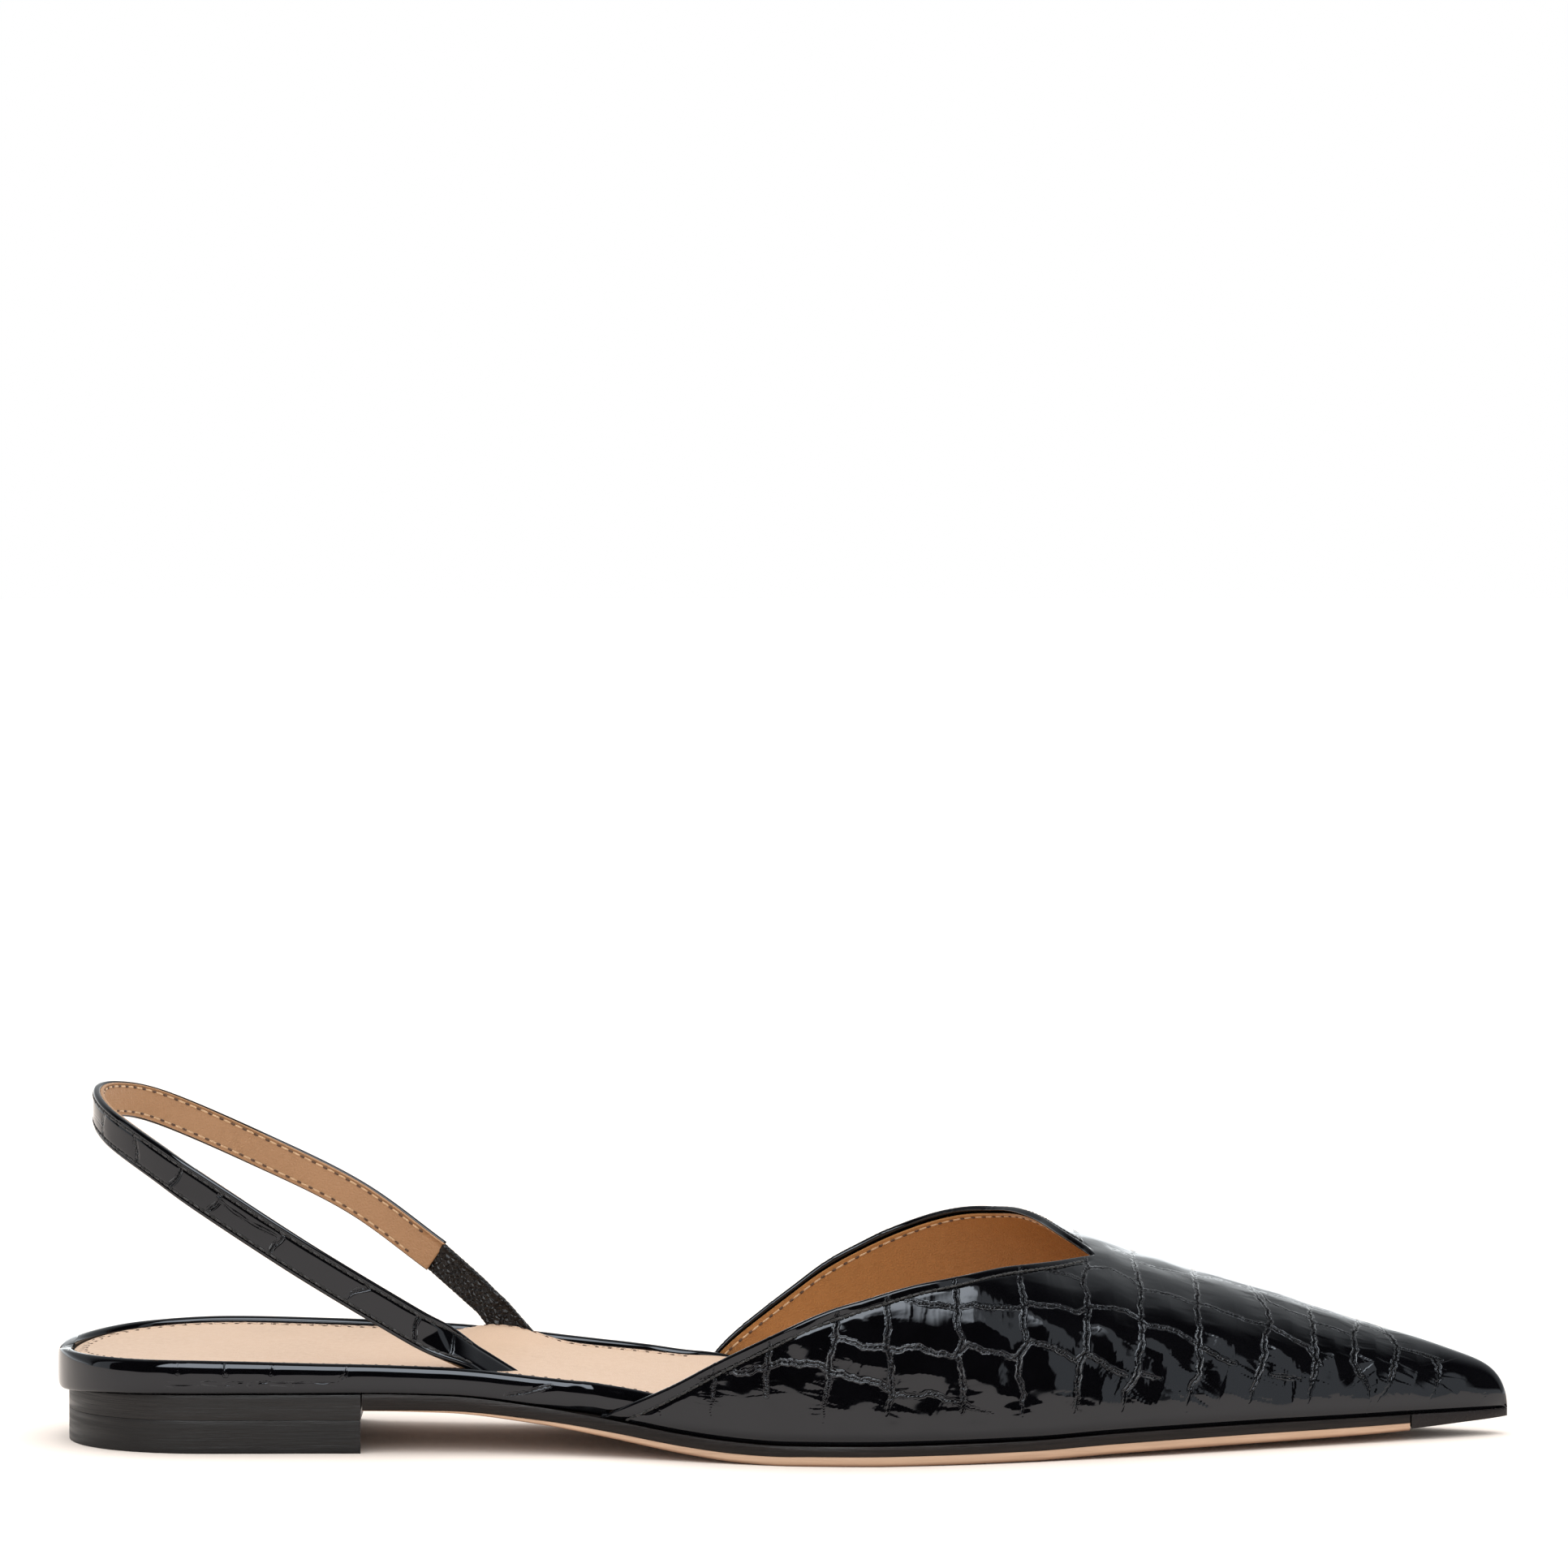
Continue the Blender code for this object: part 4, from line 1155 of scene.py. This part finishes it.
def build_sock():
    """Leather sock in the footbed's recess, its edge pressed down and its seam in a shallow groove."""
    stations = np.concatenate([
        along_at(round_stations(x_at(HEEL_ROUND), x_at(0.0) + RIM_WIDTH + GAP, 40)[::-1]),
        np.linspace(HEEL_ROUND, 0.93, 330)[1:]])
    rings = []
    for along in stations:
        left, right, height = recess(along, GAP)
        under = ease(along, 0.43, 0.50) * 1.5 * MM
        left = left - under
        right = right + under
        share = 0.5 - 0.5 * np.cos(pi * np.linspace(0.0, 1.0, SOCK_COLUMNS))
        across = left + (right - left) * share
        level = height(across) + GAP + SOCK_THICK
        from_edge = np.minimum(across - left, right - across)
        stitch_groove = np.exp(-((from_edge - SOCK_SEAM_INSET) / (0.35 * MM)) ** 2)
        level = level - 0.35 * MM * np.exp(-(from_edge / (0.35 * MM)) ** 2) - 0.10 * MM * stitch_groove
        level = level + 0.10 * MM * ease(from_edge, 0.2 * MM, 2.0 * MM) + sock_lift(x_at(along), across)
        top = np.column_stack([np.full(SOCK_COLUMNS, x_at(along)), across, level])
        below = across[::-8]
        bottom = np.column_stack([np.full(len(below), x_at(along)), below, height(below) + GAP])
        rings.append(np.concatenate([top[::-1], bottom[::-1]])[::-1])
    rings = np.array(rings)[:, ::-1]
    add_rings("sock_cover", rings, SOCK_CALF, sharp=pi / 3, slot="sock_leather", replaces=("sock",))
    build_sock_stitches()


def sock_point(along, from_left):
    """Point on the sock's top at a distance in from its lateral edge, or from the medial one if negative."""
    left, right, height = recess(along, GAP)
    y = left + from_left if from_left >= 0.0 else right + from_left
    return np.array([x_at(along), y, sock_top(height, x_at(along), y)])


def sock_line(inset):
    """Line on the sock at a distance in from its edge, from the waist round the heel and back."""
    front = np.linspace(0.44, HEEL_ROUND, 120)
    lateral = [sock_point(along, inset) for along in front]
    medial = [sock_point(along, -inset) for along in front[::-1]]
    for side in (lateral, medial):
        for _ in range(80):
            across = [point[1] for point in side]
            for i in range(1, len(side) - 1):
                side[i][1] = 0.5 * across[i] + 0.25 * (across[i - 1] + across[i + 1])
    left, right, _ = recess(HEEL_ROUND, GAP)
    middle = 0.5 * (left + right)
    half = 0.5 * (right - left) - inset
    reach = HEEL_ROUND * LENGTH - RIM_WIDTH - GAP - inset
    curved = []
    for angle in np.linspace(0.5 * pi, -0.5 * pi, 80)[1:-1]:
        y = middle - half * np.sign(np.sin(angle)) * abs(np.sin(angle)) ** (2.0 / HEEL_POWER)
        x = x_at(HEEL_ROUND) - reach * abs(np.cos(angle)) ** (2.0 / HEEL_POWER)
        along = along_at(x)
        lateral_z, medial_z, depth = bed_heights(along)
        low, high = bed_plan(along)
        share = (y - low) / (high - low)
        level = lateral_z + (medial_z - lateral_z) * share - depth - SOCK_DISH * 4.0 * share * (1.0 - share)
        curved.append(np.array([x, y, level + GAP + SOCK_THICK]))
    return np.array(lateral + curved + medial)


def even_steps(line, count):
    run = path_run(line)
    return on_line(np.linspace(0.0, run[-1], count), run, line)


def build_sock_stitches():
    """One line of stitches round the sock's edge, and the zigzag of fine stitches outside it, drawn as dark
    beads: painted shade of the zigzag's notches.
    """
    line = sock_line(SOCK_SEAM_INSET)
    upward = np.tile([0.0, 0.0, 1.0], (len(line), 1))
    stitch_row("sock_stitches", line, upward, SOCK_SEAM, SOCK_THREAD, PIN_SHADE_BROWN, "sock_leather")
    count = 193
    zigzag = even_steps(sock_line(0.9 * MM), count)
    zigzag[::2] = even_steps(line, count)[::2]
    upward = np.tile([0.0, 0.0, 1.0], (count, 1))
    step = path_run(zigzag)[-1] / (count - 1)
    pitch = 1.0001 * step
    # The zigzag takes the dark pinhole colour: painted shade of its notches rather than the thread's own
    # colour.
    add_beads("sock_zigzag", zigzag, upward, pitch, 0.5, 0.8 * step, 0.13 * MM, 0.2, PIN_SHADE_BROWN,
              "sock_leather")


# Sole, toe tip and heel


def sole_rings(stations, bottom, top, inset, soften):
    """Layer of the sole between two heights, with eased edges."""
    rings = []
    for along in stations:
        low, high = plan(along)
        low, high = low + inset, high - inset
        width = high - low
        base, roof = bottom(along), top(along)
        ease_in = min(soften, 0.3 * width)
        ease_up = min(soften, 0.35 * (roof - base))
        tall = roof - base
        side = [(ease_in, 0.0), (0.4 * ease_in, 0.25 * ease_up), (0.0, ease_up),
                (-0.05 * ease_in, 0.5 * tall), (0.0, tall - 0.4 * ease_up), (0.3 * ease_in, tall)]
        right = [(high - across, base + up) for across, up in side]
        left = [(low + across, base + up) for across, up in side]
        floor = [(low + width * share, base) for share in (0.2, 0.4, 0.6, 0.8)]
        ring = floor + right + left[::-1]
        rings.append([(x_at(along), y, z) for y, z in ring])
    return np.array(rings)


def build_sole():
    """Sole's natural edge, the dark layer over it and the rubber tip."""
    breast = along_at(x_at(0.0) + HEEL_LENGTH + GAP)
    joint = along_at(x_at(1.0) - TIP_LENGTH)
    stations = np.linspace(breast, joint, 260)

    def split(along):
        share = np.interp(along, [0.225, 0.30, 0.366, 0.446, 0.52], [0.04, 0.20, 0.34, 0.43, 0.52])
        return underside(along) + share * SOLE_THICK * side_thick(along)

    def covered(along):
        return sole_top(along) + 0.8 * GAP

    lower = sole_rings(stations, underside, split, 0.05 * MM, 0.45 * MM)
    thing = add_rings("sole_edge", lower, SOLE_EDGE, sharp=pi / 4, slot="sole_leather",
                      replaces=("outsole",))
    band = (lower[..., 2] - underside(stations)[:, None]) / (split(stations) - underside(stations))[:, None]
    paint(thing, "band", band)
    upper = sole_rings(stations, split, covered, -0.02 * MM, 0.25 * MM)
    add_rings("sole_welt", upper, WELT, sharp=pi / 4, slot="tip_rubber", replaces=("outsole",))
    tip = np.concatenate([np.linspace(along_at(x_at(joint) + GAP), NOSE_START, 30),
                          round_stations(NOSE_START, 1.0, 20)[1:]])
    rings = sole_rings(tip, lambda along: underside(along) + TIP_STEP, covered, 0.0, 0.4 * MM)
    add_rings("toe_tip_cover", rings, TIP, sharp=pi / 4, slot="tip_rubber", replaces=("toe_tip",))


BREAST_SLANT = 2.8 * MM


def heel_layer(name, bottom, top, material, slot, node, soften):
    breast = along_at(x_at(0.0) + HEEL_LENGTH)
    back = SEAT_OVERHANG / LENGTH
    stations = np.concatenate([round_stations(HEEL_ROUND, back, 48)[::-1],
                               np.linspace(HEEL_ROUND, breast, 30)[1:]])
    rings = []
    for along in stations:
        low, high = plan(along, back=SEAT_OVERHANG)
        base, roof = bottom(along), top(along)
        width = high - low
        low_soft, high_soft = (min(soft, 0.25 * width) for soft in soften)
        tall = roof - base
        side = [(low_soft, 0.0), (0.3 * low_soft, 0.3 * low_soft), (0.0, low_soft)]
        side += [(0.0, low_soft + (tall - low_soft - high_soft) * i / 6.0) for i in range(1, 6)]
        side += [(0.0, tall - high_soft), (0.3 * high_soft, tall - 0.3 * high_soft), (high_soft, tall)]
        right = [(high - across, base + up) for across, up in side]
        left = [(low + across, base + up) for across, up in side]
        floor = [(low + width * share, base) for share in (0.15, 0.3, 0.45, 0.6, 0.75, 0.88)]
        roofs = [(y, roof) for y, _ in floor[::-1]]
        ring = floor + right + roofs + left[::-1]
        hollow = ease(along, breast - 0.02, breast)
        points = []
        for y, z in ring:
            share = np.clip((y - low) / width, 0.0, 1.0)
            slant = BREAST_SLANT * share * max(1.0 - z / HEEL_RISE, 0.0)
            points.append((x_at(along) - (BREAST_HOLLOW * np.sin(pi * share) + slant) * hollow, y, z))
        rings.append(points)
    add_rings(name, rings, material, sharp=pi / 4, slot=slot, replaces=(node,))


def build_heel():
    def floor(along):
        return 0.0

    def joint(along):
        return TOP_PIECE_HEIGHT

    def above_joint(along):
        return TOP_PIECE_HEIGHT + 0.04 * MM

    def seat(along):
        return sole_top(along) + 0.5 * GAP

    heel_layer("heel_lift", above_joint, seat, HEEL_STAIN, "heel_leather", "heel_stack",
               (0.05 * MM, 0.12 * MM))
    heel_layer("top_piece", floor, joint, TOP_PIECE, "top_piece_rubber", "heel_top_piece",
               (0.25 * MM, 0.05 * MM))


# Strap and elastic


def path_through(rows, steps):
    """Smooth path in space through a table of the loop's shares."""
    points = np.array([(x_at(row.along), LOOP_HALF_WIDTH * row.across, LOOP_HEIGHT * row.up)
                       for row in rows])
    points = np.concatenate([[2.0 * points[0] - points[1]], points, [2.0 * points[-1] - points[-2]]])
    path = []
    for i in range(1, len(points) - 2):
        before, start, end, after = points[i - 1:i + 3]
        for k in range(steps):
            t = k / steps
            path.append(0.5 * (2.0 * start + (end - before) * t
                               + (2.0 * before - 5.0 * start + 4.0 * end - after) * t * t
                               + (3.0 * start - before - 3.0 * end + after) * t ** 3))
    path.append(points[-2])
    return np.array(path)


def band_frame(path):
    ahead = unit(np.gradient(path, axis=0))
    up = np.array([0.0, 0.0, 1.0])
    tall = unit(up - ahead * ahead[:, 2:3])
    return ahead, tall, np.cross(ahead, tall)


def rounded_section(half_width, near, far, corner, face_points):
    """Rounded rectangle as (across, depth), starting on the near face."""
    across = np.linspace(-half_width + corner, half_width - corner, face_points)
    section = [(a, near) for a in across]
    arcs = [((half_width - corner, near + corner), -0.5 * pi), ((half_width - corner, far - corner), 0.0),
            ((-half_width + corner, far - corner), 0.5 * pi), ((-half_width + corner, near + corner), pi)]
    for number, (centre, start) in enumerate(arcs):
        if number == 2:
            section += [(a, far) for a in across[::-3]]
        for k in range(1, 4 if number == 3 else 5):
            angle = start + 0.5 * pi * k / 4
            section.append((centre[0] + corner * np.cos(angle), centre[1] + corner * np.sin(angle)))
    return np.array(section)


def turned_frame(path, turn):
    """Band's frame, its face turned up by an angle at each point of the path."""
    ahead, tall, side = band_frame(path)
    cosine, sine = np.cos(turn)[:, None], np.sin(turn)[:, None]
    return ahead, tall * cosine + side * sine, side * cosine - tall * sine


def sweep(path, section, turn):
    """Rings of a section carried along a path."""
    _, tall, side = turned_frame(path, turn)
    return path[:, None] + tall[:, None] * section[None, :, 0:1] + side[:, None] * section[None, :, 1:2]


# Lengths of both bands under the sock, and the step along them there
STRAP_HIDDEN = 14.0 * MM
ELASTIC_HIDDEN = 7.0 * MM
HIDDEN_STEP = 0.4 * MM

STRAP_STITCH_INSET = 1.0 * MM
FACE_COLUMNS = 31

# Places of the grooves across the strap, as shares of its path
STRAP_SCALES = [0.148, 0.208, 0.262, 0.322, 0.371, 0.424, 0.486, 0.541, 0.604, 0.668, 0.729, 0.795, 0.862,
                0.925]


def strap_grooves(path, turn):
    _, tall, side = turned_frame(path, turn)
    outer = path - side * 0.5 * STRAP_THICK
    run = np.linspace(0.0, 1.0, len(path))

    def at(share, across):
        return on_line(share, run, outer) + on_line(share, run, tall) * (across * 0.5 * STRAP_WIDTH)[:, None]

    lines = []
    t = np.linspace(-1.0, 1.0, 26)
    for i, share in enumerate(STRAP_SCALES):
        bend = 0.006 * np.sin(2.3 * i) * t + 0.0025 * np.sin(3.0 * t + i)
        lines.append((at(share + bend, t), np.full(26, 0.35 + 0.45 * abs(np.sin(1.7 * i)))))
    for i, (start, end) in enumerate(zip(STRAP_SCALES, STRAP_SCALES[1:])):
        if i % 4 == 3:
            t = np.linspace(0.0, 1.0, 30)
            across = 0.42 * np.sin(2.6 * i) + 0.18 * np.sin(3.0 * t + i)
            lines.append((at(start + (end - start) * t, across), np.full(30, 0.25)))
    return Grooves(lines)


def extend(path, distance, at_start):
    """Path carried straight on at one end."""
    end, before = (path[0], path[2]) if at_start else (path[-1], path[-3])
    steps = np.arange(1, int(distance / HIDDEN_STEP) + 1)[:, None]
    more = end + unit(end - before) * HIDDEN_STEP * steps
    return np.concatenate([more[::-1], path]) if at_start else np.concatenate([path, more])


def trim_under_sock(rings, rows):
    """Keeps the hidden end of a band just under the sock's top."""
    for ring in rings[rows]:
        for point in ring:
            height = recess(along_at(point[0]), GAP)[2]
            point[2] = max(point[2], sock_top(height, point[0], point[1]) - 0.8 * MM)


def build_strap():
    """Strap's patent face and tan lining, with a seam along each edge of both."""
    path = extend(path_through(STRAP_LINE, 42), STRAP_HIDDEN, True)
    turn = 0.95 * (1.0 - ease(path_run(path), STRAP_HIDDEN - 1.0 * MM, STRAP_HIDDEN + 12.0 * MM))
    path[:, 1] += 1.4 * MM * turn
    _, tall, side = turned_frame(path, turn)
    split = 0.32 * MM
    section = rounded_section(0.5 * STRAP_WIDTH, -0.5 * STRAP_THICK, split, 0.42 * MM, FACE_COLUMNS)
    rings = sweep(path, section, turn)
    family = strap_grooves(path, turn)
    front = slice(0, FACE_COLUMNS)
    face = rings[:, front]
    distance, depth = family.look(face)
    across = section[front, 0][None, :]
    edge = 0.5 * STRAP_WIDTH - np.abs(across)
    stitched = np.exp(-((edge - STRAP_STITCH_INSET) / (0.30 * MM)) ** 2)
    inner = ease(edge, 0.6 * MM, 1.6 * MM)
    height = (0.10 * MM * (1.0 - (2.0 * across / STRAP_WIDTH) ** 4) - 0.13 * MM * stitched
              - inner * depth * (0.08 * MM * np.exp(-(distance / (0.38 * MM)) ** 2)
                                 + 0.06 * MM * np.exp(-(distance / (1.8 * MM)) ** 2)) + 0.4 * waves(face))
    rings[:, front] = face - side[:, None] * height[..., None]
    hidden_steps = int(STRAP_HIDDEN / HIDDEN_STEP)
    foot = slice(0, hidden_steps + 30)
    trim_under_sock(rings, foot)
    thing = add_rings("sling_strap_face", rings, PATENT, slot="patent_strap", replaces=("sling_strap",))
    off_seam = np.abs(edge - STRAP_STITCH_INSET) / MM + np.zeros_like(distance)
    nearest = np.minimum(np.minimum(distance / MM, off_seam), FAR)
    strength = np.where(off_seam < distance / MM, 0.0, inner * depth)
    paint_part(thing, rings.shape[:2], front, nearest, strength)
    half = 0.5 * STRAP_WIDTH
    section = rounded_section(half - 0.30 * MM, split - 0.1 * MM, 0.5 * STRAP_THICK, 0.25 * MM, 19)
    rings = sweep(path, section, turn)
    trim_under_sock(rings, foot)
    add_rings("sling_strap_lining", rings, LINING, slot="sock_leather", replaces=("sling_strap",))
    for name, sign in (("upper", 1.0), ("lower", -1.0)):
        seam = path + tall * (sign * (half - STRAP_STITCH_INSET))
        seen = slice(hidden_steps + (12 if sign > 0.0 else 2), -6)
        out = side[seen]
        line = seam[seen] - out * (0.5 * STRAP_THICK)
        stitch_row("strap_stitches_" + name, line, -out, STRAP_SEAM, DARK_THREAD, PIN_SHADE_DARK, "patent_strap")
        line = seam[seen] + out * (0.5 * STRAP_THICK)
        stitch_row("strap_lining_stitches_" + name, line, out, STRAP_LINING_SEAM, TAN_THREAD, PIN_SHADE_BROWN,
                   "sock_leather")


def build_elastic():
    """Puckered elastic between the strap and the sock."""
    path = extend(path_through(ELASTIC_LINE, 60), ELASTIC_HIDDEN, False)
    section = rounded_section(0.5 * ELASTIC_WIDTH, -0.5 * ELASTIC_THICK, 0.5 * ELASTIC_THICK, 0.4 * MM, 22)
    rings = sweep(path, section, np.zeros(len(path)))
    run = path_run(path)[:, None] * 1000.0
    across = section[None, :, 0] * 1000.0
    pucker = (np.sin(4.6 * run + 1.1 * np.sin(1.3 * across)) * 0.5
              + 0.5 * np.sin(6.9 * run + 1.9 * np.sin(0.8 * across + 1.0)))
    outward = unit(rings - path[:, None])
    rings = rings + outward * (0.045 * MM * pucker)[..., None]
    trim_under_sock(rings, slice(-int(ELASTIC_HIDDEN / HIDDEN_STEP) - 30, None))
    add_rings("strap_elastic_face", rings, ELASTIC_FACE, slot="elastic", replaces=("strap_elastic",))


# Stage, light and camera


def build_stage():
    size = 6.0
    mesh = bpy.data.meshes.new("floor")
    mesh.from_pydata([(-size, -size, 0.0), (size, -size, 0.0), (size, size, 0.0), (-size, size, 0.0)], [],
                     [(0, 1, 2, 3)])
    floor = bpy.data.objects.new("floor", mesh)
    bpy.context.scene.collection.objects.link(floor)
    look = Look("floor_paper", (0.97, 0.88, 0.81), 0.8, Specular_IOR_Level=0.0)
    paper = look.noise(9.0, 2.0)
    look.colour(look.mix(look.range(paper, 0.3, 0.7), (0.97, 0.88, 0.81), (0.97, 0.885, 0.815)))
    mesh.materials.append(look.material)


class Sky(Nodes):
    """Node helper for the surround, in terms of the direction looked at."""

    def __init__(self, world):
        world.use_nodes = True
        self.tree = world.node_tree
        self.tree.nodes.clear()
        axes = self.node("ShaderNodeSeparateXYZ")
        self.link(self.node("ShaderNodeTexCoord").outputs["Generated"], axes.inputs["Vector"])
        self.x, self.y, self.z = (axes.outputs[name] for name in "XYZ")
        front = self.times(self.y, -1.0)
        degrees = 180.0 / pi
        self.turn = self.times(self.math("ARCTAN2", self.x, front), degrees)
        self.height = self.times(self.math("ARCSINE", self.z), degrees)
        self.over_top = self.times(self.math("ARCTAN2", self.z, front), degrees)

    def window(self, value, limits, soft):
        """1 between two angles, fading out over a soft edge."""
        low, high = limits
        return self.times(self.range(value, low - soft, low), self.range(value, high, high + soft, 1.0, 0.0))

    def box(self, turns, heights, soft):
        return self.times(self.window(self.turn, turns, soft), self.window(self.height, heights, soft))

    def background(self, colour, strength):
        made = self.node("ShaderNodeBackground")
        made.inputs["Color"].default_value = colour
        self.put(strength, made.inputs["Strength"])
        return made.outputs[0]

    def over(self, below, share, level):
        """Replaces brightness by a level where a share is 1."""
        kept = self.times(below, self.math("SUBTRACT", 1.0, share))
        return self.math("ADD", kept, self.times(share, level))


WHITE = (1.0, 1.0, 1.0, 1.0)


def build_world():
    """White room that lights the shoe, and the dark side, cards and soft box that its gloss mirrors."""
    world = bpy.data.worlds.new("studio")
    bpy.context.scene.world = world
    sky = Sky(world)
    above = sky.range(sky.over_top, 66.0, 74.0)
    behind = sky.range(sky.over_top, 148.0, 174.0)
    ceiling = sky.range(sky.over_top, 80.0, 134.0, 0.010, 0.52)
    tilted = sky.math("SUBTRACT", sky.height, sky.times(sky.turn, 0.5))
    soft_box = sky.times(sky.range(tilted, 15.0, 27.0), sky.box((-32.0, 51.0), (22.0, 68.0), 2.5))
    back_wall = sky.times(sky.range(sky.over_top, 168.0, 174.0), sky.range(sky.z, 0.0, 0.02))
    mirrored = sky.over(1.05, sky.box((-80.0, 85.0), (-1.0, 70.0), 6.0), 0.84)
    mirrored = sky.over(mirrored, sky.box((-70.0, 45.5), (0.5, 68.0), 1.2), 0.002)
    mirrored = sky.over(mirrored, sky.box((60.0, 92.0), (6.0, 72.0), 3.0), 0.02)
    mirrored = sky.over(mirrored, sky.times(above, sky.math("SUBTRACT", 1.0, behind)), ceiling)
    mirrored = sky.over(mirrored, soft_box, 6.5)
    mirrored = sky.over(mirrored, back_wall, 1.9)
    path = sky.node("ShaderNodeLightPath")
    glossy = sky.background((0.94, 0.98, 1.0, 1.0), mirrored)
    shader = sky.background(WHITE, sky.range(sky.z, 0.0, 1.0, 0.80, 1.60))
    seen = sky.background(WHITE, 1.0)
    output = sky.node("ShaderNodeOutputWorld")
    for share, other in (("Is Glossy Ray", glossy), ("Is Camera Ray", seen)):
        mix = sky.node("ShaderNodeMixShader")
        sky.link(path.outputs[share], mix.inputs["Fac"])
        sky.link(shader, mix.inputs[1])
        sky.link(other, mix.inputs[2])
        shader = mix.outputs[0]
    sky.link(shader, output.inputs["Surface"])


def aim(name, data, place, target):
    """Object with a light or camera that looks from a place at a target."""
    thing = bpy.data.objects.new(name, data)
    thing.location = place
    thing.rotation_mode = "QUATERNION"
    thing.rotation_quaternion = (Vector(target) - Vector(place)).to_track_quat("-Z", "Y")
    bpy.context.scene.collection.objects.link(thing)
    return thing


def build_light():
    """Weak light from overhead, unseen in the gloss."""
    data = bpy.data.lights.new("overhead", "AREA")
    data.shape = "RECTANGLE"
    data.size = 1.1
    data.size_y = 0.7
    data.energy = 3.0
    thing = aim("overhead", data, (0.05, 0.20, 1.10), (0.03, 0.0, 0.0))
    thing.visible_camera = False
    thing.visible_glossy = False


def build_camera():
    data = bpy.data.cameras.new("camera")
    data.lens = 173.63
    data.sensor_width = 36.0
    bpy.context.scene.camera = aim("camera", data, (0.0, -1.398, 0.192), (0.0, 0.0, 0.12162))


build_vamp()
build_rand()
build_sock()
build_sole()
build_heel()
build_strap()
build_elastic()
build_stage()
build_world()
build_light()
build_camera()
bpy.context.scene.view_settings.view_transform = "Standard"

bpy.context.view_layer.update()
